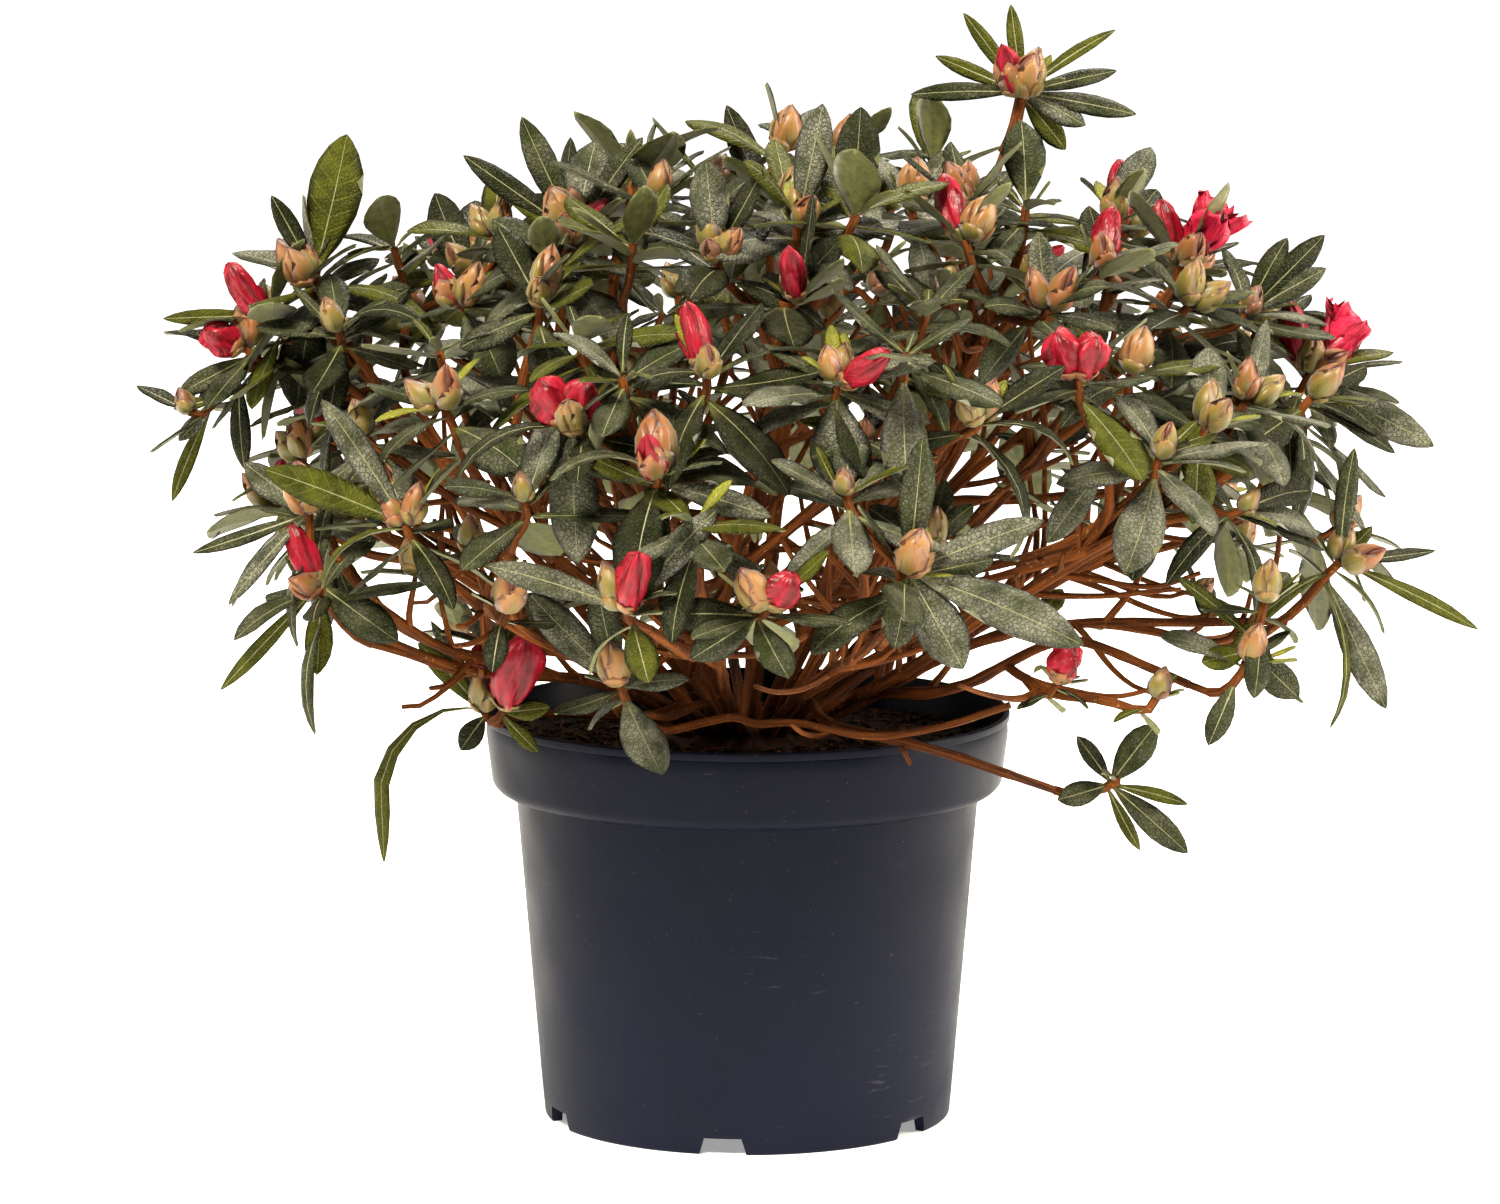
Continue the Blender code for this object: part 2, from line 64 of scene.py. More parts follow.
# ---- the pot, driven by its CAD node
POT_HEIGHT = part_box("pot")[1].z
RIM_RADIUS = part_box("pot")[1].x
COLLAR_HEIGHT = 0.029
COLLAR_FOOT_RADIUS = 0.0925
COLLAR_ROUNDING = 0.007
COLLAR_DROP = 0.0056
BODY_TOP_RADIUS = 0.0838
BASE_RADIUS = 0.0738
WALL = 0.0018
LIP = 0.0028
LIP_ROUND = 0.0007
FOOT_HEIGHT = 0.0065
FOOT_WIDTH = 0.004
PAD_RADIUS = 0.040
PAD_SLOPE = 0.004
POT_SIDES = 144
NOTCHES = 6
NOTCH_TURN = math.radians(-6.8)
NOTCH_WIDTH = 0.0135
NOTCH_FLARE = 1.35

# ---- the soil and the root crown
SOIL_TOP = POT_HEIGHT - 0.012
SOIL_MOUND = 0.004
STOOL_RADIUS = 0.034
STOOL_HEIGHT = 0.007
CHIPS = 1500
FIBRES = 260

# ---- limbs, as in the CAD
LIMB_RADII = (0.0024, 0.0015)  # at the foot and at the tip
THIN_LIMB_RADII = (0.0022, 0.0014)
LIMB_SINK = 0.004  # how much deeper a limb starts than its stub in the CAD
FOOT_GAP, FOOT_LENGTH = 0.00864, 0.0054
LIMB_STEPS = 5
LIMB_WANDER = 0.0036  # how far a limb strays from its straight course
STEEP, SHALLOW = 60, 38
TIERS = ((0.014, 66), (0.028, 50), (0.043, 30))
HEART_SHARE = 0.6
HEART_HEIGHT = 0.0042
RIM_MARGIN = 0.004
RIM_DROP = 0.7
LIMB_SIDES = 10
LIMB_RING = 0.003  # from one ring of a limb to the next
ROOT_FLARE = 1.35  # of a limb, where it leaves the root crown

# ---- foliage, as in the CAD but closer
CROWN_CENTRE = Vector((0.022, 0.010, 0.20))
CROWN_RADII = Vector((0.200, 0.186, 0.148))
FRONT_SKIRT, BACK_SKIRT, SIDE_SKIRT = 0.262, 0.238, 0.200  # under it stand only the chosen shoots
BUD_RISE = 0.0065  # of the middle of the buds over the end of the shoot
SKIRT_EDGE = 0.125  # distance to the side where the skirt starts to fall
SKIRT_TURN = 0.035  # and over which it falls
SHOOT_SPACING = 0.031
SHOOT_TRIALS = 60
LEVELLING = 0.05
FORK_SHARE = 0.3
LEADER_ROOM = (0.026, 0.312)  # to each side of the leader, and above which height, no other shoot ends
INNER_LEVEL = 0.70  # of the ellipsoid on which the short inner shoots end
INNER_SPACING = 0.046
INNER_TRIALS = 40
INNER_SKIRT = 0.285
TWIG_RADIUS = 0.0018
TWIG_TIP_RADIUS = 0.0016
LEADER_RADIUS = 0.0024
BRANCHES = 6  # thinner ones from each limb
CROSSINGS = 2  # of them that start low on the limb of another mass
LOW_MASS = 0.22  # under it they don't
CROSSING_TURN = (25, 110)  # how far round the crown that one stands, degrees
CROSSING_START = (0.04, 0.22)  # share of its limb at which they leave it
BRANCH_START = (0.35, 0.75)  # and of their own limb, for the rest
BRANCH_REACH = (0.45, 0.80)  # share of the way from the end of the limb to their shoots
BRANCH_RADIUS = 0.0017
BRANCH_WANDER = 0.0014
SPURS = 17
SPUR_LENGTH = (0.018, 0.064)
SPUR_RADIUS = 0.0014
SPUR_WANDER = 0.0018
TWIG_WANDER = 0.0022
LEAFY_SPURS = 0.15
SPUR_ROOM = 0.012  # the least height of the end of a spur over the pot
SPUR_LEVEL = 0.93  # of the ellipsoid past which none ends
TWIG_SIDES = 6
TWIG_RING = 0.005
SHORTEST_TWIG = 0.020


class Mass(NamedTuple):
    """One mass of foliage, placed by its leading shoot, and the buds at the end of that."""

    name: str
    azimuth: float  # degrees from the front, towards +X
    reach: float  # distance of the leading shoot from the pot's axis
    height: float
    depth: float  # from the end of its limb to the leading shoot
    size: float  # how far its shoots spread round the leading one
    buds: str  # a letter for each bud, as in BUDS
    bough: bool = True
    bend: float = 0  # from the azimuth of its leading shoot to that of its foot, degrees


class Shoot(NamedTuple):
    """The end of a twig, where a rosette of leaves stands round the buds."""

    mass: str
    number: int
    tip: Vector
    axis: Vector
    side: Vector  # the direction of its first leaf
    buds: str
    inner: bool = False
    leaves: int = -1  # in its rosette, where dice don't choose
    size: float = 1.0  # of its leaves


class Bud(NamedTuple):
    """One kind of flower bud."""

    length: float
    radius: float
    tone: str
    cover: float  # how much of its length the scales reach
    point: float  # how sharply it ends: the power of its radius towards the tip
    petals: int  # open petals, over the furled ones


BUDS = {
    "o": Bud(0.0178, 0.0045, "orange", 1.00, 0.95, 0),
    "g": Bud(0.0168, 0.0044, "green", 1.00, 0.95, 0),
    "t": Bud(0.0215, 0.0064, "tan", 1.00, 0.85, 0),
    "b": Bud(0.0128, 0.0035, "brown", 1.00, 1.00, 0),
    "s": Bud(0.0200, 0.0050, "orange", 0.78, 0.85, 0),
    "r": Bud(0.0265, 0.0050, "green", 0.26, 0.55, 0),
    "k": Bud(0.0175, 0.0060, "orange", 0.34, 0.48, 0),
    "f": Bud(0.0290, 0.0078, "green", 0.16, 0.50, 0),
    "R": Bud(0.0210, 0.0055, "orange", 0.36, 0.50, 5),
}
# What the shoots placed by dice may carry: outside, inside, and on spurs
BUD_MIX = ("",) * 5 + ("g", "g", "g", "o", "o", "o", "oo", "go", "og", "b", "b", "os", "gs", "t", "g", "gr")
INNER_BUD_MIX = ("", "", "", "b", "g")
SPUR_BUD_MIX = ("", "", "b", "g")
# Where the numbers of the side, inner and spur shoots start
SIDE_NUMBERS, INNER_NUMBERS, SPUR_NUMBERS = 100, 200, 300

MASSES = (
    Mass("leader", 90, 0.099, 0.377, 0.040, 0.000, "tgs", False),
    Mass("crown_left", -63, 0.067, 0.329, 0.050, 0.060, "tstoo"),
    Mass("crown_front", 12, 0.088, 0.338, 0.050, 0.060, "og"),
    Mass("crown_right", 60, 0.112, 0.335, 0.050, 0.060, ""),
    Mass("crown_back", 174, 0.085, 0.325, 0.055, 0.070, "o"),
    Mass("shoulder_right", 85, 0.156, 0.318, 0.050, 0.060, "Rro"),
    Mass("right_high", 88, 0.204, 0.278, 0.055, 0.038, "gRro"),
    Mass("front_right_high", 56, 0.193, 0.270, 0.050, 0.060, "go"),
    Mass("front_high", 20, 0.155, 0.293, 0.050, 0.060, ""),
    Mass("front_left_high", -16, 0.152, 0.285, 0.050, 0.060, ""),
    Mass("left_front_high", -43, 0.155, 0.277, 0.050, 0.060, "go"),
    Mass("left_high", -88, 0.160, 0.310, 0.055, 0.060, "ooo"),
    Mass("left_front", -41, 0.178, 0.240, 0.050, 0.060, "oo"),
    Mass("left_low", -55, 0.184, 0.213, 0.050, 0.055, "ro"),
    Mass("front_middle", -6, 0.175, 0.240, 0.050, 0.060, ""),
    Mass("front_right", 18, 0.182, 0.228, 0.045, 0.060, "t"),
    Mass("right_tip", 78, 0.218, 0.213, 0.045, 0.020, "og"),
    Mass("right_low", 56, 0.209, 0.190, 0.030, 0.036, "o"),
    Mass("low_left", -60, 0.110, 0.163, 0.045, 0.028, "gr", False, 32),
    Mass("low_front", -22, 0.120, 0.181, 0.040, 0.036, "t", False),
    Mass("runner", 57, 0.154, 0.137, 0.026, 0.000, "", False, -28),
    Mass("back_left_high", -135, 0.135, 0.295, 0.055, 0.070, "oo"),
    Mass("back_right_high", 128, 0.135, 0.302, 0.055, 0.070, "gs"),
    Mass("back_left", -112, 0.172, 0.246, 0.055, 0.070, "r"),
    Mass("back_middle_left", -157, 0.168, 0.242, 0.055, 0.070, "Ro"),
    Mass("back_middle_right", 158, 0.172, 0.242, 0.055, 0.070, "go"),
    Mass("back_right", 117, 0.198, 0.238, 0.055, 0.070, "rg"),
    Mass("back_low", -176, 0.150, 0.180, 0.050, 0.060, "o", False),
)

# The shoots that stand out beside the leading ones: (mass, across, up from its leading shoot, buds), and
# where they carry few leaves, how many, of what size, how far forward the shoot ends, its tilt to the side
SIDE_SHOOTS = (
    ("crown_front", -0.024, -0.028, "oob"),
    ("crown_front", 0.019, -0.007, ""),
    ("crown_right", -0.015, 0.021, "oo"),
    ("crown_right", -0.036, -0.038, "tr"),
    ("crown_right", 0.016, -0.030, "ro"),
    ("shoulder_right", 0.011, -0.027, "b"),
    ("front_right_high", -0.059, 0.009, "kbk"),
    ("front_right_high", -0.037, -0.018, "g"),
    ("front_high", -0.021, -0.006, "grb"),
    ("front_left_high", 0.027, 0.007, "gr"),
    ("front_left_high", -0.018, -0.011, "kkg"),
    ("front_left_high", 0.019, -0.031, "ts"),
    ("front_middle", 0.025, -0.027, "kot", 6, 0.85, 0.009, 0.1),
    ("front_middle", -0.022, -0.029, "gr", 5, 0.65, 0.001, -0.1),
    ("left_high", -0.017, -0.010, "or"),
    ("left_high", -0.008, -0.030, "tk"),
    ("left_high", 0.035, -0.018, "o"),
    ("low_left", 0.0105, -0.0035, "f", 0, 0.5, 0.012, 0.26),
    ("left_front", 0.054, 0.004, "b"),
    ("left_front", 0.036, -0.033, "t", 3, 0.55, 0.019, 0.1),
    ("right_low", -0.0329, -0.0184, "b", 3, 0.5, 0, 0.1),
    ("right_low", -0.0662, -0.0153, "k", 4, 0.55, -0.013, 0.25),
    ("right_low", 0.004, 0.015, "g", 5, 0.8, -0.002, 0.1),
    ("front_right", -0.023, 0.029, "b"),
    ("left_low", 0.000, 0.020, "t", 4, 0.7, -0.007, -0.1),
    ("left_high", -0.040, -0.053, "b", 4, 0.7, 0.0015, -0.4),
)

# Leaves that stand out by themselves: (mass, root across and up from its leading shoot, reach, width, tone),
# in millimetres
LONE_LEAVES = (
    ("leader", (-3, -1), (-36, -4, -3), 7, "hairy"),
    ("leader", (-2, 1), (-30, 6, 5), 6, "olive"),
    ("leader", (2, 0), (31, 5, 2), 7, "hairy"),
    ("leader", (2, -1), (36, -8, -11), 8, "hairy"),
    ("leader", (-2, 3), (-19, -3, 18), 6, "olive"),
    ("leader", (3, 3), (26, 0, 16), 5, "olive"),
    ("leader", (1, -6), (20, -8, -9), 10, "silver"),
    ("leader", (1, -8), (14, -3, -17), 9, "olive"),
    ("leader", (0, 2), (-5, 4, 22), 6, "olive"),
    ("left_high", (12, 3), (7, -4, 41), 20, "olive"),
    ("left_high", (0, 3), (-8, -2, 21), 8, "dark"),
    ("left_high", (0, -14), (-2, -8, -36), 18, "hairy"),
    ("left_high", (-17, -10), (-31, -3, -9), 6, "olive"),
    ("left_high", (-16, -32), (-28, -3, -14), 8, "hairy"),
    ("crown_left", (-4, 6), (-16, -2, 27), 11, "hairy"),
    ("crown_left", (-6, 4), (-33, -5, 16), 9, "dark"),
    ("crown_left", (6, 4), (14, 4, 24), 9, "hairy"),
    ("crown_back", (-2, 4), (-14, -4, 30), 11, "dark"),
    ("crown_front", (4, 2), (4, -3, 31), 13, "silver"),
    ("crown_front", (19, -6), (1, -6, 38), 16, "dark"),
    ("crown_front", (-20, -12), (-12, -6, 27), 14, "silver"),
    ("right_high", (5, -16), (37, -8, -12), 13, "silver"),
    ("right_high", (2, -6), (20, -6, -22), 9, "hairy"),
    ("right_tip", (9, -3), (36, -8, -21), 6, "olive"),
    ("right_tip", (-2, -16), (14, -6, -40), 12, "silver"),
    ("right_tip", (-4, 4), (1, -4, 30), 8, "hairy"),
    ("front_right", (9, -6), (46, -10, -17), 17, "silver"),
    ("front_right", (-4, -5), (-2, -8, -24), 13, "hairy"),
    ("front_right", (5, -8), (10, -10, -27), 17, "silver"),
    ("front_left_high", (-18, -18), (1, -10, -42), 18, "silver"),
    ("front_left_high", (21, -33), (28, -6, -9), 10, "silver"),
    ("front_left_high", (17, -33), (-28, -5, 8), 8, "olive"),
    ("front_middle", (-23, -28), (-42, -6, 17), 10, "silver"),
    ("front_middle", (-21, -28), (26, -6, 33), 11, "silver"),
    ("front_middle", (22, -28), (-30, -6, 1), 12, "dark"),
    ("front_middle", (22, -29), (-21, -6, -16), 12, "hairy"),
    ("front_right", (7, -2), (32, -7, 17), 11, "silver"),
    ("front_right", (1, 2), (1, -6, 36), 12, "hairy"),
    ("front_right_high", (-36, -20), (36, -6, 11), 12, "olive"),
    ("front_right_high", (-38, -20), (-20, -6, -24), 11, "silver"),
    ("right_low", (-3, 2), (-21, -4, 22), 6, "olive"),
    ("right_low", (2, -4), (13, -5, -14), 12, "hairy"),
    ("right_low", (-3, -2), (-14, -4, -4), 9, "olive"),
    ("front_high", (-18, -14), (-4, -9, -29), 20, "silver"),
    ("left_front", (-9, 4), (-34, -5, 11), 13, "olive"),
    ("left_front", (-7, 7), (-16, -3, 29), 11, "silver"),
    ("left_low", (5, -4), (24, -8, -19), 14, "hairy"),
    ("left_low", (-3, -8), (-27, -8, -31), 6, "olive"),
    ("left_low", (2, -8), (2, -6, -26), 10, "olive"),
    ("left_low", (-13, 19), (-25, -6, -13), 6, "hairy"),
    ("left_low", (-9, 20), (-20, -8, -28), 6, "silver"),
    ("left_high", (-20, -42), (-3, -6, -30), 8, "dark"),
    ("left_high", (-21, -60), (-22, -4, -3), 6, "silver"),
    ("left_high", (-21, -56), (-24, -3, 5), 5, "olive"),
    ("left_high", (-18, -62), (-30, -6, -21), 6, "olive"),
    ("low_left", (3, -8), (-21, -5, 26), 8, "olive"),
    ("low_left", (3, -7), (-18, 3, 31), 6, "silver"),
    ("low_left", (2, -9), (-8, -5, -10), 9, "dark"),
    ("low_left", (4, -7), (9, 6, 31), 9, "olive"),
    ("low_left", (10, -5), (15, -6, 2), 8, "olive"),
    ("low_left", (10, -6), (11, -6, -12), 6, "olive"),
    ("low_front", (-3, -1), (-27, -4, 24), 13, "silver"),
    ("low_front", (-4, 2), (-4, -4, 26), 12, "hairy"),
    ("runner", (-3, -2), (-17, -4, -5), 9, "hairy"),
    ("runner", (-3, -1), (-10, -2, 16), 7, "dark"),
    ("runner", (-3, -2), (15, -3, 21), 12, "hairy"),
    ("runner", (-2, -3), (26, -5, -3), 5, "olive"),
    ("runner", (-2, -3), (26, -6, -21), 10, "hairy"),
    ("runner", (-3, -4), (10, -4, -21), 5, "olive"),
    ("shoulder_right", (21, -18), (28, -4, 9), 9, "silver"),
    ("shoulder_right", (21, -17), (28, -4, 19), 10, "dark"),
    ("shoulder_right", (20, -16), (14, -4, 18), 9, "hairy"),
)

# The stub of a twig on the runner: (share of its limb, direction, length, radius)
RUNNER_STUB = (0.50, Vector((0.45, -0.1, -0.9)), 0.007, 0.0011)
# The stem that lies along the front of the rim, and rises to the right over the runner
RIM_STEM = (
    (-0.020, -0.024, 0.143), (-0.041, -0.050, 0.152), (-0.046, -0.070, 0.161), (-0.044, -0.078, 0.1650),
    (-0.0384, -0.0795, 0.1597), (-0.0290, -0.081, 0.1543), (-0.0161, -0.082, 0.1566),
    (-0.0039, -0.083, 0.1586), (0.0034, -0.084, 0.1563), (0.0184, -0.085, 0.1566), (0.0400, -0.089, 0.1532),
    (0.0540, -0.092, 0.1545), (0.0700, -0.098, 0.1590), (0.0906, -0.105, 0.1668),
)
RIM_STEM_RADII = (0.0020, 0.0012)
# Limbs whose course shows: the runner over the rim and down, and the two low ones at the right
LIMB_COURSES = {
    "runner": ((0.030, -0.062, 0.1530), (0.0508, -0.0865, 0.1500), (0.0705, -0.0885, 0.1450),
               (0.0885, -0.0845, 0.1390)),
    "right_low": ((0.0500, -0.034, 0.1590), (0.0655, -0.044, 0.1610), (0.0798, -0.052, 0.1660),
                  (0.0913, -0.061, 0.1734), (0.1056, -0.071, 0.1815), (0.1180, -0.0795, 0.1830),
                  (0.1391, -0.094, 0.1775)),
    "right_tip": ((0.0600, -0.0137, 0.1660), (0.0800, -0.0178, 0.1760), (0.1000, -0.0220, 0.1815),
                  (0.1250, -0.0270, 0.1838), (0.1500, -0.0325, 0.1850)),
}
# The branches of the low limb at the right: one forward from it, and a second on from the end of that
OWN_BRANCHES = {
    "right_low": (((0.0913, -0.061, 0.1734), (0.0942, -0.069, 0.1722), (0.0975, -0.078, 0.1715)),
                  ((0.0975, -0.078, 0.1715), (0.1047, -0.096, 0.1695), (0.1214, -0.108, 0.1691))),
}
FEWER_SPURS = {"right_low": 3, "right_tip": 8}

# ---- leaves: the tones that are dealt out by spray, and their shape
LEAF_TONES = ("hairy",) * 6 + ("silver",) * 3 + ("dark",) * 4 + ("olive",) * 3
YOUNG_TONES = ("olive", "olive", "fresh", "hairy")
ROSETTE = (6, 9)  # fewest and most leaves round a shoot
INNER_ROSETTE = (3, 5)
STEM_LEAVES = 1  # more of them, spaced down the twig
STEM_LEAF_START = 0.012  # from the end of a twig to the first of them
STEM_LEAF_STEP = 0.0070
TOP_HEIGHT = 0.300  # over it the rosettes stand more upright
BARE_HEIGHT = 0.245  # under it twigs carry no leaves
LEAF_LENGTH = 0.037
LEAF_SIZES = {"crown_right": 0.88, "low_left": 0.55, "low_front": 0.74, "leader": 1.2, "right_tip": 1.05,
              "right_high": 1.08, "right_low": 0.80}
# Share of the usual width, on the masses with narrow leaves
NARROW_LEAVES = {"right_tip": 0.62, "right_low": 0.80, "left_low": 0.80, "right_high": 0.85}
# How many leaves those leading shoots have, in place of dice
LEAD_LEAVES = {"leader": 0, "runner": 0, "low_left": 0, "low_front": 6, "right_tip": 6, "right_low": 4}
ROSETTE_DEPTH = 0.009  # from the end of a shoot to its lowest leaf
DEPTH_WEIGHT = 0.35  # of the depth of a twig, against its place seen from the front, for a leaf of the table
LEAF_WIDTH = 0.43  # share of its length
LONG_LEAVES = 0.05  # share of them that are long, narrow and drooping
LEAF_THICKNESS = 0.0004
LEAF_ROWS, LEAF_COLUMNS = 10, 6
RIB_WIDTH = 0.0006
PETIOLE_WIDTH = 0.0012
STRAP_LENGTH, STRAP_WIDTH = 0.079, 0.0072


# ================================================================ meshes from arrays
def quads(ids):
    """The quads between the rows and columns of a grid of point numbers."""
    return np.stack([ids[:-1, :-1], ids[:-1, 1:], ids[1:, 1:], ids[1:, :-1]], -1).reshape(-1, 4)


def shell_quads(rows, columns):
    """The quads of a thin closed shell: an upper grid, and a lower one that shares its border."""
    upper = np.arange(rows * columns).reshape(rows, columns)
    lower = upper.copy()
    inner = (rows - 2) * (columns - 2)
    lower[1:-1, 1:-1] = rows * columns + np.arange(inner).reshape(rows - 2, columns - 2)
    return np.concatenate([quads(upper), quads(lower)[:, ::-1]])


def shell_values(upper, lower):
    """The values at a shell's points: on its upper grid, then inside the border of its lower one."""
    return np.concatenate([grid.reshape(-1, grid.shape[-1]) for grid in (upper, lower[1:-1, 1:-1])])


def tube_quads(rows, sides):
    """The quads of a tube of an even number of sides, with both ends closed."""
    ids = np.arange(rows * sides).reshape(rows, sides)
    walls = quads(np.hstack([ids, ids[:, :1]]))
    caps = []
    for ring in (ids[0][::-1], ids[-1]):
        for i in range(sides // 2 - 1):
            caps.append((ring[i], ring[i + 1], ring[sides - 2 - i], ring[sides - 1 - i]))
    return np.concatenate([walls, np.array(caps)])


BOX_POINTS = np.array([(x, y, z) for z in (-1, 1) for x, y in ((-1, -1), (1, -1), (1, 1), (-1, 1))])
BOX_FACES = np.array([(3, 2, 1, 0), (4, 5, 6, 7), (0, 1, 5, 4), (1, 2, 6, 5), (2, 3, 7, 6), (3, 0, 4, 7)])


class Heap:
    """Shapes of quads gathered for one joined mesh, each with its materials and its own map."""

    def __init__(self):
        self.points, self.faces, self.kinds, self.maps = [], [], [], []
        self.count = 0

    def add(self, points, faces, kinds, maps):
        self.points.append(points)
        self.faces.append(faces + self.count)
        self.kinds.append(np.broadcast_to(kinds, len(faces)))
        self.maps.append(maps)
        self.count += len(points)

    def make(self, name, materials):
        """The joined mesh, as an object that rides on the plant."""
        points = np.concatenate(self.points).astype(np.float32)
        faces = np.concatenate(self.faces).astype(np.int32)
        mesh = bpy.data.meshes.new(name)
        mesh.vertices.add(len(points))
        mesh.vertices.foreach_set("co", points.ravel())
        mesh.loops.add(faces.size)
        mesh.loops.foreach_set("vertex_index", faces.ravel())
        mesh.polygons.add(len(faces))
        mesh.polygons.foreach_set("loop_start", np.arange(0, faces.size, 4, dtype=np.int32))
        mesh.polygons.foreach_set("material_index", np.concatenate(self.kinds).astype(np.int32))
        mesh.update(calc_edges=True)
        mesh.shade_smooth()
        layer = mesh.uv_layers.new(name="skin")
        layer.uv.foreach_set("vector", np.concatenate(self.maps)[faces.ravel()].astype(np.float32).ravel())
        for material in materials:
            mesh.materials.append(material)
        return piece(name, mesh)


def piece(name, mesh):
    """The mesh as an object of the scene that rides on the plant."""
    made = bpy.data.objects.new(name, mesh)
    bpy.context.scene.collection.objects.link(made)
    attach(made, "root")
    return made


def array(vectors):
    """Vectors as the rows of an array."""
    return np.array([tuple(vector) for vector in vectors])


def smoothed(points, spacing):
    """Points on a Catmull-Rom curve through points, about spacing apart."""
    ends = [points[0] * 2 - points[1], *points, points[-1] * 2 - points[-2]]
    made = []
    for before, start, end, after in zip(ends, ends[1:], ends[2:], ends[3:]):
        steps = max(1, round((end - start).length / spacing))
        for i in range(steps):
            t = i / steps
            made.append(0.5 * (2 * start + (end - before) * t
                               + (2 * before - 5 * start + 4 * end - after) * t**2
                               + (3 * start - 3 * end + after - before) * t**3))
    return made + [points[-1]]


def frames_along(points):
    """(tangent, side, across) at each point of a line, turned as little as possible."""
    tangents = [(after - before).normalized() for before, after in
                zip([points[0], *points[:-1]], [*points[1:], points[-1]])]
    side = tangents[0].orthogonal().normalized()
    made = []
    for before, tangent in zip([tangents[0], *tangents], tangents):
        side = (before.rotation_difference(tangent) @ side).normalized()
        made.append((tangent, side, tangent.cross(side)))
    return made


def add_tube(heap, points, radii, sides, kind, relief=0.0, grain=0.0):
    """Adds a round limb. Its relief is a share of its radius, in ridges that run along it."""
    angles = np.linspace(0, math.tau, sides, endpoint=False)
    rings, maps = [], []
    length = 0.0
    for i, (point, (_, side, across), radius) in enumerate(zip(points, frames_along(points), radii)):
        length += (point - points[i - 1]).length if i else 0
        bumps = [1 + relief * noise.noise(Vector((math.cos(a) * 2, math.sin(a) * 2, grain + length * 90)))
                 for a in angles]
        spokes = np.outer(np.cos(angles), side) + np.outer(np.sin(angles), across)
        rings.append(np.array(point) + spokes * (radius * np.array(bumps))[:, None])
        maps.append(np.stack([angles / math.tau, np.full(sides, length * 30 + grain)], -1))
    heap.add(np.concatenate(rings), tube_quads(len(rings), sides), kind, np.concatenate(maps))


# ================================================================ materials
class Paint:
    """A material whose nodes are made by short calls."""

    def __init__(self, name, colour, roughness, **constants):
        self.material = bpy.data.materials.new(name)
        self.material.use_nodes = True
        self.nodes = self.material.node_tree.nodes
        self.links = self.material.node_tree.links
        self.shader = self.nodes["Principled BSDF"]
        self.shader.inputs["Base Color"].default_value = (*colour, 1)
        self.shader.inputs["Roughness"].default_value = roughness
        for socket, value in constants.items():
            self.shader.inputs[socket.replace("_", " ")].default_value = value

    def node(self, kind, output=0, settings=(), **inputs):
        made = self.nodes.new(kind)
        for name, value in dict(settings).items():
            setattr(made, name, value)
        for name, value in inputs.items():
            key = int(name[1:]) if name[0] == "i" and name[1:].isdigit() else name.replace("_", " ")
            socket = made.inputs[key]
            if isinstance(value, bpy.types.NodeSocket):
                self.links.new(value, socket)
            elif isinstance(value, tuple) and len(value) == 3 and socket.type == "RGBA":
                socket.default_value = (*value, 1)
            else:
                socket.default_value = value
        return made.outputs[output]

    def place(self):
        return self.node("ShaderNodeTexCoord", "Object")

    def skin(self):
        return self.node("ShaderNodeUVMap", settings={"uv_map": "skin"})

    def stretched(self, vector, scale):
        return self.node("ShaderNodeVectorMath", settings={"operation": "MULTIPLY"}, i0=vector, i1=scale)

    def noise(self, scale, detail=2.0, vector=None, rough=0.5):
        vector = vector or self.place()
        return self.node("ShaderNodeTexNoise", Vector=vector, Scale=scale, Detail=detail, Roughness=rough)

    def ramp(self, value, low, high, out_low=0.0, out_high=1.0):
        return self.node("ShaderNodeMapRange", i0=value, i1=low, i2=high, i3=out_low, i4=out_high)

    def maths(self, operation, a, b=0.0):
        return self.node("ShaderNodeMath", settings={"operation": operation}, i0=a, i1=b)

    def mix(self, factor, a, b):
        return self.node("ShaderNodeMix", 2, {"data_type": "RGBA"}, i0=factor, i6=a, i7=b)

    def colour(self, value):
        self.links.new(value, self.shader.inputs["Base Color"])
        return self

    def rough(self, value):
        self.links.new(value, self.shader.inputs["Roughness"])
        return self

    def bump(self, height, strength, distance):
        normal = self.node("ShaderNodeBump", Height=height, Strength=strength, Distance=distance)
        self.links.new(normal, self.shader.inputs["Normal"])
        return self


def side_veins(paint, across=9.0, slant=0.16):
    """1 on the fine veins that leave a leaf's rib, and 0 between them."""
    parts = paint.node("ShaderNodeSeparateXYZ", i0=paint.skin())
    along = parts.node.outputs[1]
    aside = paint.maths("ABSOLUTE", paint.maths("SUBTRACT", parts, 0.5))
    slanted = paint.maths("SUBTRACT", along, paint.maths("MULTIPLY", aside, slant * 2))
    phase = paint.maths("FRACT", paint.maths("MULTIPLY", slanted, across))
    ridge = paint.maths("ABSOLUTE", paint.maths("SUBTRACT", phase, 0.5))
    return paint.ramp(ridge, 0.02, 0.12, 1.0, 0.0)


RIB_COLOUR = (0.18, 0.18, 0.035)


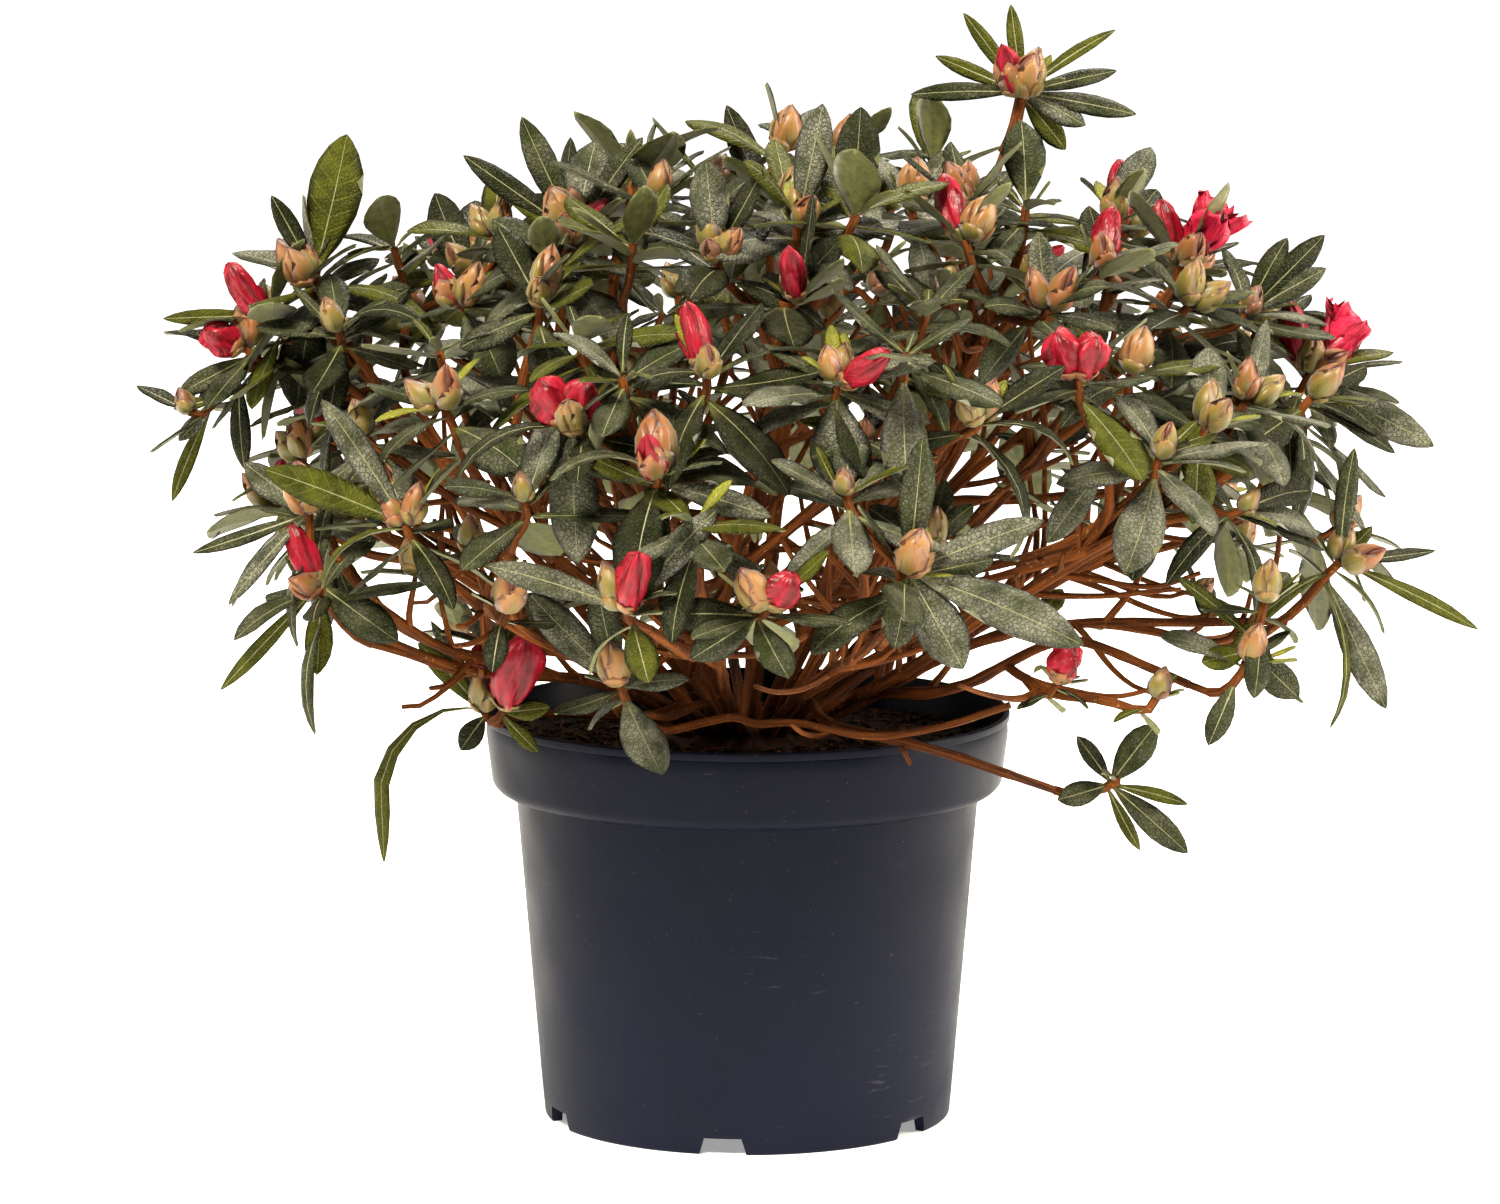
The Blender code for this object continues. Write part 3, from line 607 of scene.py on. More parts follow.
def leaf_paint(name, deep, pale, hair, cover, roughness, sheen):
    """The upper face of a leaf: mottled green, netted with fine veins, under silvery hairs."""
    paint = Paint(name, deep, roughness, Sheen_Weight=sheen, Sheen_Roughness=0.4, Specular_IOR_Level=0.09)
    mottle = paint.ramp(paint.noise(140.0, 3.0), 0.35, 0.62)
    green = paint.mix(mottle, deep, pale)
    veins = side_veins(paint)
    vein_colour = tuple(min(1, channel * 2.0 + 0.015) for channel in pale)
    green = paint.mix(paint.maths("MULTIPLY", veins, 0.30), green, vein_colour)
    foot = paint.node("ShaderNodeSeparateXYZ", i0=paint.skin()).node.outputs[1]
    green = paint.mix(paint.ramp(foot, 0.02, 0.22, 0.75, 0.0), green, RIB_COLOUR)
    edges = {"feature": "DISTANCE_TO_EDGE"}
    cells = paint.node("ShaderNodeTexVoronoi", 0, edges, Vector=paint.place(), Scale=620.0)
    net = paint.ramp(cells, 0.02, 0.16)
    patch = paint.ramp(paint.noise(95.0, 2.0), 0.34, 0.66, cover * 0.12, cover)
    hairs = paint.maths("MULTIPLY", paint.ramp(paint.noise(2400.0, 3.0, rough=0.7), 0.30, 0.78), patch)
    hairs = paint.maths("MULTIPLY", hairs, paint.ramp(net, 0.0, 1.0, 0.35, 1.0))
    paint.colour(paint.mix(hairs, green, hair))
    relief = paint.maths("ADD", paint.maths("MULTIPLY", veins, -0.8), paint.maths("MULTIPLY", net, 0.7))
    relief = paint.maths("ADD", relief, paint.noise(2000.0, 1.0))
    return paint.bump(relief, 0.8, 0.0005).material


def plain_leaf_paint(name, deep, pale, roughness):
    """The back of a leaf, or its rib."""
    paint = Paint(name, deep, roughness, Sheen_Weight=0.15)
    paint.colour(paint.mix(paint.ramp(paint.noise(420.0, 3.0), 0.35, 0.65), deep, pale))
    return paint.bump(paint.noise(1200.0, 2.0), 0.2, 0.0003).material


def scale_paint(name, base, middle, tip, edge):
    """A bud scale, from its base to its tip, with darker ribs and edges."""
    paint = Paint(name, middle, 0.42, Sheen_Weight=0.15, Specular_IOR_Level=0.5)
    parts = paint.node("ShaderNodeSeparateXYZ", i0=paint.skin())
    along = parts.node.outputs[1]
    wander = paint.maths("MULTIPLY", paint.noise(260.0, 2.0), 0.5)
    height = paint.maths("SUBTRACT", paint.maths("ADD", along, wander), 0.25)
    aside = paint.maths("ABSOLUTE", paint.maths("SUBTRACT", parts, 0.5))
    flank = paint.maths("MULTIPLY", paint.maths("ADD", aside, paint.maths("MULTIPLY", height, 0.5)), 1.6)
    body = paint.mix(paint.ramp(flank, 0.25, 0.75), base, middle)
    body = paint.mix(paint.ramp(height, 0.60, 0.98), body, tip)
    streaks = paint.noise(1.0, 3.0, paint.stretched(paint.skin(), (16.0, 1.6, 1.0)))
    body = paint.mix(paint.ramp(streaks, 0.48, 0.70, 0.0, 0.40), body, edge)
    body = paint.mix(paint.ramp(aside, 0.30, 0.49, 0.0, 0.85), body, edge)
    paint.colour(body)
    return paint.bump(streaks, 0.35, 0.0006).material


def petal_paint(name, deep, pale):
    """Crimson petals, pale at their foot, with painted shade in their lengthwise creases."""
    paint = Paint(name, deep, 0.36, Specular_IOR_Level=0.30)
    streaks = paint.noise(1.0, 3.0, paint.stretched(paint.skin(), (11.0, 1.8, 1.0)), 0.6)
    # painted shade: the petal takes its deep crimson where the streaks, which also make its bump, run low in
    # the creases
    body = paint.mix(paint.ramp(streaks, 0.38, 0.62), deep, pale)
    along = paint.node("ShaderNodeSeparateXYZ", i0=paint.skin()).node.outputs[1]
    paint.colour(paint.mix(paint.ramp(along, 0.12, 0.30), (0.50, 0.24, 0.16), body))
    creases = paint.maths("ADD", streaks, paint.maths("MULTIPLY", paint.noise(330.0, 3.0), 0.35))
    return paint.bump(creases, 0.7, 0.0016).material


def bark_paint(name, deep, pale, ridge):
    """Bark with long fissures, and pale flecks."""
    paint = Paint(name, deep, 0.75, Specular_IOR_Level=0.14)
    fissures = paint.noise(1.0, 4.0, paint.stretched(paint.skin(), (7.0, 1.1, 1.0)), 0.65)
    body = paint.mix(paint.ramp(fissures, 0.38, 0.62), deep, pale)
    flecks = paint.ramp(paint.noise(700.0, 2.0), 0.66, 0.74, 0.0, 0.7)
    paint.colour(paint.mix(flecks, body, ridge))
    return paint.bump(paint.maths("ADD", fissures, paint.maths("MULTIPLY", paint.noise(1400.0), 0.3)),
                      1.0, 0.0012).material


def pot_paint():
    """Moulded plastic, rubbed and dusty, paler towards its foot with painted floor light and darker towards
    the rim with painted shade.
    """
    paint = Paint("pot", (0.006, 0.008, 0.016), 0.34, Specular_IOR_Level=0.07)
    height = paint.node("ShaderNodeSeparateXYZ", i0=paint.place()).node.outputs[2]
    clouds_and_painted_floor_light = paint.maths("MULTIPLY", paint.ramp(paint.noise(16.0, 4.0), 0.30, 0.72), 0.35)
    # painted floor light and shade: the body colour rises towards the paler tone from the rim down to the
    # foot
    clouds_and_painted_floor_light = paint.maths("ADD", clouds_and_painted_floor_light, paint.ramp(height, 0.0, POT_HEIGHT, 0.65, 0.0))
    body = paint.mix(clouds_and_painted_floor_light, (0.0024, 0.0030, 0.0080), (0.0085, 0.0103, 0.0240))
    dust = paint.ramp(paint.noise(620.0, 3.0, rough=0.7), 0.68, 0.78, 0.0, 0.6)
    body = paint.mix(dust, body, (0.13, 0.12, 0.12))
    scuffs = paint.noise(1.0, 5.0, paint.stretched(paint.place(), (60.0, 60.0, 420.0)), 0.7)
    scuffs = paint.maths("MULTIPLY", paint.ramp(scuffs, 0.62, 0.74), paint.ramp(paint.noise(22.0), 0.5, 0.7))
    paint.colour(paint.mix(paint.maths("MULTIPLY", scuffs, 0.35), body, (0.12, 0.12, 0.14)))
    paint.rough(paint.ramp(paint.noise(34.0, 5.0), 0.3, 0.7, 0.34, 0.50))
    return paint.bump(paint.noise(55.0, 3.0), 0.06, 0.002).material


def soil_paint(name, deep, pale):
    """Crumbly peat or bark, matt."""
    paint = Paint(name, deep, 0.95, Specular_IOR_Level=0.2)
    paint.colour(paint.mix(paint.ramp(paint.noise(420.0, 4.0, rough=0.7), 0.38, 0.66), deep, pale))
    return paint.bump(paint.noise(900.0, 4.0), 0.9, 0.0012).material


FLOOR_GLOW, FLOOR_FADE = 0.34, (0.35, 1.1)  # glow near the pot, and where it rises to full white


def floor_paint():
    """A white floor that glows by itself far from the plant, so that it ends nowhere."""
    paint = Paint("floor", (0.93, 0.93, 0.925), 0.9, Specular_IOR_Level=0.1)
    paint.shader.inputs["Emission Color"].default_value = (1, 1, 1, 1)
    away = paint.node("ShaderNodeVectorMath", 1, {"operation": "LENGTH"}, i0=paint.place())
    paint.links.new(paint.ramp(away, *FLOOR_FADE, FLOOR_GLOW, 1.0), paint.shader.inputs["Emission Strength"])
    paint.colour(paint.mix(paint.noise(3.0, 2.0), (0.925, 0.925, 0.92), (0.94, 0.94, 0.935)))
    return paint.material


COLOURS = (  # kind of paint, name, and what that kind takes
    (leaf_paint, "leaf_hairy", (0.0060, 0.0090, 0.0010), (0.019, 0.0255, 0.0030), (0.44, 0.425, 0.30),
     0.36, 0.28, 0.02),
    (leaf_paint, "leaf_silver", (0.010, 0.0135, 0.0028), (0.030, 0.037, 0.0095), (0.56, 0.535, 0.43), 0.70,
     0.33, 0.08),
    (leaf_paint, "leaf_dark", (0.0035, 0.0052, 0.0005), (0.010, 0.0137, 0.0012), (0.26, 0.24, 0.16), 0.26,
     0.26, 0.01),
    (leaf_paint, "leaf_olive", (0.028, 0.033, 0.0012), (0.061, 0.066, 0.0036), (0.27, 0.25, 0.09), 0.16,
     0.30, 0.01),
    (leaf_paint, "leaf_fresh", (0.120, 0.126, 0.007), (0.230, 0.228, 0.025), (0.38, 0.38, 0.14), 0.20,
     0.38, 0.01),
    (plain_leaf_paint, "leaf_rib", (0.130, 0.130, 0.042), (0.230, 0.225, 0.100), 0.5),
    (plain_leaf_paint, "leaf_back", (0.070, 0.078, 0.014), (0.135, 0.140, 0.032), 0.55),
    (scale_paint, "bud_inner", (0.132, 0.074, 0.0150), (0.132, 0.040, 0.0113), (0.122, 0.024, 0.0098),
     (0.067, 0.013, 0.0045)),
    (scale_paint, "scale_orange", (0.122, 0.103, 0.0124), (0.226, 0.078, 0.0150), (0.275, 0.105, 0.0281),
     (0.110, 0.020, 0.0045)),
    (scale_paint, "scale_green", (0.087, 0.088, 0.0090), (0.176, 0.128, 0.0165), (0.232, 0.105, 0.0209),
     (0.110, 0.031, 0.0053)),
    (scale_paint, "scale_tan", (0.170, 0.128, 0.0180), (0.258, 0.115, 0.0247), (0.309, 0.155, 0.0488),
     (0.143, 0.029, 0.0068)),
    (scale_paint, "scale_brown", (0.083, 0.057, 0.0093), (0.149, 0.051, 0.0106), (0.181, 0.064, 0.0169),
     (0.061, 0.014, 0.0038)),
    (petal_paint, "petal", (0.10, 0.0004, 0.003), (0.34, 0.006, 0.022)),
    # painted backlight: the open petals take a brighter copy of the petal crimson, standing in for light
    # shining through them
    (petal_paint, "petal_open", (0.34, 0.004, 0.022), (0.66, 0.022, 0.070)),
    (bark_paint, "bark", (0.028, 0.0072, 0.0009), (0.135, 0.034, 0.0036), (0.30, 0.15, 0.05)),
    (bark_paint, "old_bark", (0.016, 0.006, 0.003), (0.060, 0.024, 0.012), (0.12, 0.06, 0.03)),
    (bark_paint, "twig", (0.045, 0.0115, 0.0015), (0.190, 0.050, 0.0055), (0.38, 0.21, 0.08)),
    (soil_paint, "soil", (0.006, 0.0035, 0.002), (0.030, 0.016, 0.009)),
    (soil_paint, "chip_dark", (0.010, 0.006, 0.004), (0.045, 0.024, 0.013)),
    (soil_paint, "chip_red", (0.070, 0.022, 0.008), (0.180, 0.070, 0.030)),
)


def make_paints():
    """Every material of the scene by name."""
    paints = {name: kind(name, *values) for kind, name, *values in COLOURS}
    return paints | {"pot": pot_paint(), "floor": floor_paint()}


# ================================================================ the growth rule
def on_circle(azimuth, radius, height):
    """The point at an azimuth, in degrees from the front, that far from the pot's axis."""
    angle = math.radians(azimuth)
    return Vector((radius * math.sin(angle), -radius * math.cos(angle), height))


def lead_of(mass):
    """Where the leading shoot of a mass ends."""
    return on_circle(mass.azimuth, mass.reach, mass.height)


def out_of(mass):
    """The direction in which a mass faces, out from the heart of the crown."""
    return (lead_of(mass) - Vector((0, 0, SOIL_TOP + 0.03))).normalized()


def hub_of(mass):
    """Where the limb of a mass ends, and its stem starts."""
    return lead_of(mass) - (out_of(mass) * 0.65 + UP * 0.35).normalized() * mass.depth


def tier_of(mass):
    """Which ring of the root crown a limb leaves: the inner one when it climbs steeply."""
    elevation = math.degrees(math.atan2(mass.height - SOIL_TOP, mass.reach))
    return 0 if elevation > STEEP else 1 if elevation > SHALLOW else 2


def spread_apart(angles, gap):
    """The sorted angles of a full turn, in degrees, moved until no two are closer than gap."""
    angles = list(angles)
    for _ in range(200):
        for i in range(len(angles)):
            after = (i + 1) % len(angles)
            apart = (angles[after] - angles[i]) % 360
            if apart < gap:
                angles[i] -= (gap - apart) / 2
                angles[after] += (gap - apart) / 2
    return angles


def limb_feet():
    """For each limb: where its stub starts in the root crown, where the limb does, and its direction."""
    feet = {}
    for tier, (ring, rise) in enumerate(TIERS):
        members = sorted((m for m in MASSES if tier_of(m) == tier), key=lambda m: (m.azimuth + m.bend) % 360)
        gap = math.degrees(FOOT_GAP / ring)
        angles = spread_apart([(m.azimuth + m.bend) % 360 for m in members], gap)
        slope = math.radians(rise)
        for mass, angle in zip(members, angles):
            outward = on_circle(angle, 1, 0)
            direction = outward * math.cos(slope) + UP * math.sin(slope)
            heart = outward * (ring * HEART_SHARE) + UP * (SOIL_TOP + SOIL_MOUND + HEART_HEIGHT)
            length = ring * (1 - HEART_SHARE) / math.cos(slope)
            feet[mass.name] = (heart, heart + direction * length, direction)
    return feet


def curve_between(start, leaving, end, arriving, steps):
    """Points on a cubic from start to end with those two directions."""
    handle = 0.38 * (end - start).length
    first, second = start + leaving * handle, end - arriving * handle
    points = []
    for i in range(steps + 1):
        t = i / steps
        s = 1 - t
        points.append(start * s**3 + first * 3 * s * s * t + second * 3 * s * t * t + end * t**3)
    return points


def limb_path(mass, foot):
    """The centreline of a mass's limb, from its foot on the root crown, over the pot's rim, to its hub."""
    _, start, leaving = foot
    end = hub_of(mass)
    arriving = (end - start).normalized() + 0.7 * out_of(mass) + 0.3 * UP
    points = curve_between(start, leaving, end, arriving.normalized(), LIMB_STEPS)
    for point in points[2:]:
        past = max(0, math.hypot(point.x, point.y) - RIM_RADIUS - RIM_MARGIN)
        lowest = POT_HEIGHT + RIM_MARGIN - RIM_DROP * past
        point.z = max(point.z, lowest)
    if mass.name in LIMB_COURSES:
        points[1:-1] = [Vector(point) for point in LIMB_COURSES[mass.name]]
    return [start, start + leaving * FOOT_LENGTH, *points[1:]]


def level_of(point):
    """How far out a point is from the middle of the crown, as a share of the ellipsoid."""
    offset = point - CROWN_CENTRE
    return Vector(offset[i] / CROWN_RADII[i] for i in range(3)).length


def at_level(point, level):
    """The point moved out from the middle of the crown to a level."""
    return CROWN_CENTRE + (point - CROWN_CENTRE) * (level / level_of(point))


def make_shoot(mass, number, tip, dice, buds, inner=False, tilt=None):
    """A shoot that ends at tip, pointing up and, on the crown's flank, outward, or tilted to the side."""
    outward = Vector((tip.x, tip.y, 0)) / 0.2
    sway = Vector([dice.uniform(-0.25, 0.25) for _ in range(3)])
    axis = (UP + outward * (0.5 - 1.3 * (tip.z - 0.25)) + sway).normalized()
    if tilt is not None:
        axis = Vector((tilt, -0.15, 1)).normalized()
    side = Quaternion(axis, dice.uniform(0, math.tau)) @ axis.orthogonal().normalized()
    return Shoot(mass, number, tip, axis, side, buds, inner)


def sunk(shoot):
    """The shoot moved down so that the middle of its buds, and not its end, is at its place."""
    return shoot._replace(tip=shoot.tip - shoot.axis * BUD_RISE) if shoot.buds else shoot


def chosen_shoots():
    """The leading shoot of each mass, and those beside it that stand out."""
    leads = {mass.name: lead_of(mass) for mass in MASSES}
    shoots = []
    for mass in MASSES:
        shoot = sunk(make_shoot(mass.name, 0, leads[mass.name], random.Random(mass.name), mass.buds))
        shoots.append(shoot._replace(leaves=LEAD_LEAVES.get(mass.name, -1)))
    for i, (name, across, up, buds, *few) in enumerate(SIDE_SHOOTS):
        lead = leads[name]
        dice = random.Random(f"{name} side {i}")
        if few:
            leaves, size, forward, tilt = few
            tip = lead + Vector((across, -forward, up))
            shoot = make_shoot(name, SIDE_NUMBERS + i, tip, dice, buds, tilt=tilt)
            shoots.append(shoot._replace(leaves=leaves, size=size))
        else:
            tip = at_level(lead + Vector((across, 0, up)), level_of(lead))
            shoots.append(sunk(make_shoot(name, SIDE_NUMBERS + i, tip, dice, buds)))
    return shoots


def on_spiral(mass, i, trials):
    """The i-th place on a spiral of trials round the leading shoot of a mass, and how far from it."""
    across = out_of(mass).cross(UP).normalized()
    rise = across.cross(out_of(mass))
    away = mass.size * math.sqrt(i / trials)
    turn = i * GOLDEN_ANGLE
    return lead_of(mass) + (across * math.cos(turn) + rise * math.sin(turn)) * away, away


def all_shoots():
    """The chosen shoots, then those round them, and a sparser inner layer, each clear of the rest."""
    leads = {mass.name: lead_of(mass) for mass in MASSES}
    shoots = chosen_shoots()
    for mass in MASSES:
        lead_level = level_of(leads[mass.name])
        for i in range(1, SHOOT_TRIALS):
            dice = random.Random(f"{mass.name} shoot {i}")
            near, away = on_spiral(mass, i, SHOOT_TRIALS)
            level = lead_level + (1 - lead_level) * min(1, away / LEVELLING) + dice.uniform(-0.08, 0.03)
            tip = at_level(near, level)
            if stands_clear(tip, mass, leads, shoots, SHOOT_SPACING, skirt_at(tip)):
                shoots.append(make_shoot(mass.name, i, tip, dice, dice.choice(BUD_MIX)))
        for i in range(1, INNER_TRIALS):
            dice = random.Random(f"{mass.name} inner {i}")
            near, _ = on_spiral(mass, i, INNER_TRIALS)
            tip = at_level(near, INNER_LEVEL + dice.uniform(-0.06, 0.08))
            if stands_clear(tip, mass, leads, shoots, INNER_SPACING, INNER_SKIRT):
                buds = dice.choice(INNER_BUD_MIX)
                shoots.append(make_shoot(mass.name, INNER_NUMBERS + i, tip, dice, buds, True))
    return shoots


def skirt_at(tip):
    """The height under which the crown is bare: higher in front and behind than at its sides."""
    middle = FRONT_SKIRT if tip.y < 0 else BACK_SKIRT
    turned = min(1, max(0, (abs(tip.x) - SKIRT_EDGE) / SKIRT_TURN))
    return middle + (SIDE_SKIRT - middle) * turned


def stands_clear(tip, mass, leads, shoots, spacing, lowest):
    """Whether a shoot may end at tip: in the space of its own mass, clear of the others and of the skirt."""
    own = min(leads, key=lambda name: (leads[name] - tip).length) == mass.name
    apart = min((shoot.tip - tip).length for shoot in shoots)
    aside = tip.x - leads["leader"].x
    crowds = abs(aside) < LEADER_ROOM[0] and tip.z > LEADER_ROOM[1]
    return own and apart > spacing and tip.z > lowest and not crowds


# ================================================================ wood
def limb_radii(mass, share):
    """The radius of a limb at a share of its length."""
    first, last = LIMB_RADII if mass.bough else THIN_LIMB_RADII
    return first + (last - first) * share


def wander(points, amount, seed, turns=28):
    """The line with a slow crookedness, none at its ends."""
    made = []
    for i, point in enumerate(points):
        share = i / (len(points) - 1)
        away = noise.noise_vector(point * turns + Vector((seed, 0, 0)))
        made.append(point + away * (amount * math.sin(math.pi * share)))
    return made


def add_limb(heap, mass, foot, path, seed):
    """A limb from inside the root crown to its tip, flared at its foot and swollen at old nodes."""
    heart, _, direction = foot
    line = wander(smoothed([heart - direction * LIMB_SINK, *path], LIMB_RING), 0.0010, seed)
    line = wander(line, LIMB_WANDER, seed * 3.1 + 0.7, 11)
    dice = random.Random(f"{mass.name} limb")
    nodes = [dice.uniform(0.15, 0.95) for _ in range(4)]
    radii = []
    for i in range(len(line)):
        share = i / (len(line) - 1)
        flare = 1 + (ROOT_FLARE - 1) * math.exp(-share * 14)
        swell = sum(0.16 * math.exp(-((share - node) / 0.018) ** 2) for node in nodes)
        radii.append(limb_radii(mass, share) * (flare + swell))
    add_tube(heap, line, radii, LIMB_SIDES, 0, relief=0.12, grain=seed)


def add_twig(heap, line, first, last, grain):
    """A twig that thins from its first radius to its last."""
    radii = [first + (last - first) * i / (len(line) - 1) for i in range(len(line))]
    add_tube(heap, line, radii, TWIG_SIDES, 0, relief=0.18, grain=grain)


class Fork(NamedTuple):
    """A place where twigs may start."""

    point: Vector
    along: Vector
    radius: float


def other_limb(mass, paths, dice):
    """The path of a limb some way round the crown from this one."""
    near, far = CROSSING_TURN
    chosen = []
    for other in MASSES:
        turn = abs((other.azimuth - mass.azimuth + 180) % 360 - 180)
        if other.bough and near < turn < far:
            chosen.append(other.name)
    return paths[dice.choice(chosen)]


def side_branches(mass, paths, shoots):
    """Thinner branches that leave a limb, each towards a group of shoots, as lines."""
    if not mass.bough:
        return []
    if mass.name in OWN_BRANCHES:
        lines = [[Vector(point) for point in course] for course in OWN_BRANCHES[mass.name]]
        return [smoothed(line, LIMB_RING) for line in lines]
    dice = random.Random(f"{mass.name} branches")
    hub = paths[mass.name][-1]
    across = out_of(mass).cross(UP).normalized()
    ordered = sorted(shoots, key=lambda shoot: (shoot.tip - hub).dot(across))
    made = []
    for i in range(BRANCHES):
        group = ordered[i * len(ordered) // BRANCHES:(i + 1) * len(ordered) // BRANCHES]
        if not group:
            continue
        centre = sum((shoot.tip for shoot in group), Vector()) / len(group)
        end = hub + (centre - hub) * dice.uniform(*BRANCH_REACH) - UP * dice.uniform(0, 0.008)
        crosses = i % 2 == 0 and i // 2 < CROSSINGS and mass.height > LOW_MASS
        line = smoothed(other_limb(mass, paths, dice) if crosses else paths[mass.name], LIMB_RING)
        at = round(dice.uniform(*(CROSSING_START if crosses else BRANCH_START)) * (len(line) - 1))
        along = (line[at + 1] - line[at]).normalized()
        sway = Vector([dice.uniform(-0.35, 0.35) for _ in range(3)])
        leaving = (along * (0.7 if crosses else 1) + (end - line[at]).normalized() + sway).normalized()
        points = curve_between(line[at] - leaving * 0.001, leaving, end, (centre - end).normalized(), 5)
        made.append(wander(smoothed(points, LIMB_RING), BRANCH_WANDER, float(i) + 0.5))
    return made


def spurs(mass, path, branches):
    """Short thin twigs inside the crown, from its limb and branches, as (line, its shoot or None)."""
    dice = random.Random(f"{mass.name} spurs")
    made = []
    for number in range(FEWER_SPURS.get(mass.name, SPURS) if mass.bough else 1):
        line = dice.choice([smoothed(path, LIMB_RING), *branches])
        at = round(dice.uniform(0.2, 0.9) * (len(line) - 2))
        along = (line[at + 1] - line[at]).normalized()
        aside = Quaternion(along, dice.uniform(0, math.tau)) @ along.orthogonal().normalized()
        away = (along * 0.7 + aside + UP * 0.35).normalized()
        end = line[at] + away * dice.uniform(*SPUR_LENGTH)
        if end.z < POT_HEIGHT + SPUR_ROOM or level_of(end) > SPUR_LEVEL:
            continue
        arriving = (away + UP * dice.uniform(0.0, 0.9)).normalized()
        points = smoothed(curve_between(line[at], (along + aside).normalized(), end, arriving, 4), TWIG_RING)
        leafy = dice.random() < LEAFY_SPURS
        shoot = make_shoot(mass.name, SPUR_NUMBERS + number, end, dice, dice.choice(SPUR_BUD_MIX), True)
        made.append((points, shoot if leafy else None))
    return made


def grow_twigs(mass, path, branches, shoots):
    """The stem of a mass, and its twigs as (shoot, line, first and last radius), each from the best fork."""
    along = (path[-1] - path[-2]).normalized()
    fork = path[-1] + along * (FORK_SHARE * mass.depth)
    forks = [Fork(fork, along, limb_radii(mass, 1) * 0.95), Fork(path[-1], along, limb_radii(mass, 1))]
    forks += [Fork(line[-1], (line[-1] - line[-2]).normalized(), TWIG_RADIUS) for line in branches]
    twigs = []
    for shoot in sorted(shoots, key=lambda s: (s.tip - fork).length):
        best = min(forks, key=lambda f: twig_cost(f, shoot))
        start = best.point - best.along * 0.001
        line = smoothed(curve_between(start, best.along, shoot.tip, shoot.axis, 4), TWIG_RING)
        first = LEADER_RADIUS if shoot.mass == "leader" else TWIG_RADIUS * (0.75 if shoot.inner else 1)
        twigs.append((shoot, line, first, first * TWIG_TIP_RADIUS / TWIG_RADIUS))
        for share in (0.4, 0.65):
            at = round(share * (len(line) - 1))
            forks.append(Fork(line[at], (line[at + 1] - line[at]).normalized(), first))
    return (path[-1], fork), twigs


def twig_cost(fork, shoot):
    """How ill a fork suits a shoot: its distance, more when the twig would be very short or bend back."""
    away = shoot.tip - fork.point
    distance = away.length
    short = max(0, SHORTEST_TWIG - distance) * 6
    back = 1 - away.normalized().dot(shoot.axis)
    turn = 1 - away.normalized().dot(fork.along)
    return distance * (1 + 0.5 * back + 0.6 * turn) + short


# ================================================================ leaves
class Leaf(NamedTuple):
    """The shape of one leaf blade, from its root along a direction, with its upper face turned to face."""

    root: Vector
    along: Vector
    face: Vector
    length: float
    width: float
    curl: float  # angle by which its tip bends back
    fold: float  # slope of its two halves
    bow: float  # sideways bend, as a share of its length
    twist: float  # of its tip, about its own length
    late: float = 1.6  # how late along it the curl comes: a power
    bends: tuple = (0.0, 1.0)  # the shares of its length between which it curls


LEAF_STATIONS = np.array([0, 0.07, 0.18, 0.33, 0.48, 0.63, 0.77, 0.89, 0.965, 1.0])
LEAF_QUADS = shell_quads(LEAF_ROWS, LEAF_COLUMNS)


def leaf_outline(t):
    """Half-width of a leaf along its length, as a share of its widest: slim at its foot, then pointed."""
    p, q = 1.20, 0.80
    peak = p / (p + q)
    return t**p * (1 - t)**q / (peak**p * (1 - peak)**q)


def leaf_points(leaf, dice):
    """The points of a leaf's shell, and its map."""
    t = LEAF_STATIONS
    first, last = leaf.bends
    angle = leaf.curl * np.clip((t - first) / (last - first), 0, 1)**leaf.late
    along, face = np.array(leaf.along), np.array(leaf.face)
    across = np.cross(along, face)
    tangents = np.outer(np.cos(angle), along) - np.outer(np.sin(angle), face)
    normals = np.outer(np.cos(angle), face) + np.outer(np.sin(angle), along)
    steps = np.diff(t, prepend=0)[:, None] * leaf.length * tangents
    centre = np.array(leaf.root) + np.cumsum(steps, 0) + np.outer(leaf.bow * leaf.length * t**2, across)
    turn = leaf.twist * t
    sides = np.outer(np.cos(turn), across) + normals * np.sin(turn)[:, None]
    normals = normals * np.cos(turn)[:, None] - np.outer(np.sin(turn), across)

    half = np.maximum(leaf.width / 2 * leaf_outline(t), PETIOLE_WIDTH / 2 * (1 - t) + 0.0001)
    rib = np.minimum(RIB_WIDTH / 2 * (1 - 0.75 * t), half * 0.4)
    reach = np.stack([-half, -half * 0.55, -rib, rib, half * 0.55, half], 1)
    share = np.abs(reach) / half[:, None]
    ripple = 0.05 * np.sin(t * dice.uniform(9, 16) + dice.uniform(0, 6))[:, None] * share**2 * half[:, None]
    height = leaf.fold * np.abs(reach) - 0.28 * half[:, None] * share**3 + ripple
    height[:, 2:4] -= 0.00025
    upper = centre[:, None] + sides[:, None] * reach[..., None] + normals[:, None] * height[..., None]
    sunk = (LEAF_THICKNESS + 0.0004 * (share < 0.3))[..., None]
    uv = np.stack(np.broadcast_arrays(np.linspace(0, 1, LEAF_COLUMNS)[None], t[:, None]), -1)
    return shell_values(upper, upper - normals[:, None] * sunk), shell_values(uv, uv)


LEAF_SLOTS = ("hairy", "silver", "dark", "olive", "fresh")


def leaf_kinds(tone):
    """The material of each face of a leaf: its tone above, with a pale rib, and its back below."""
    across = LEAF_COLUMNS - 1
    upper = np.full((LEAF_ROWS - 1, across), LEAF_SLOTS.index(tone))
    upper[:, across // 2] = len(LEAF_SLOTS)
    lower = np.full(upper.size, len(LEAF_SLOTS) + 1)
    return np.concatenate([upper.ravel(), lower])


LEAF_KINDS = {tone: leaf_kinds(tone) for tone in LEAF_SLOTS}


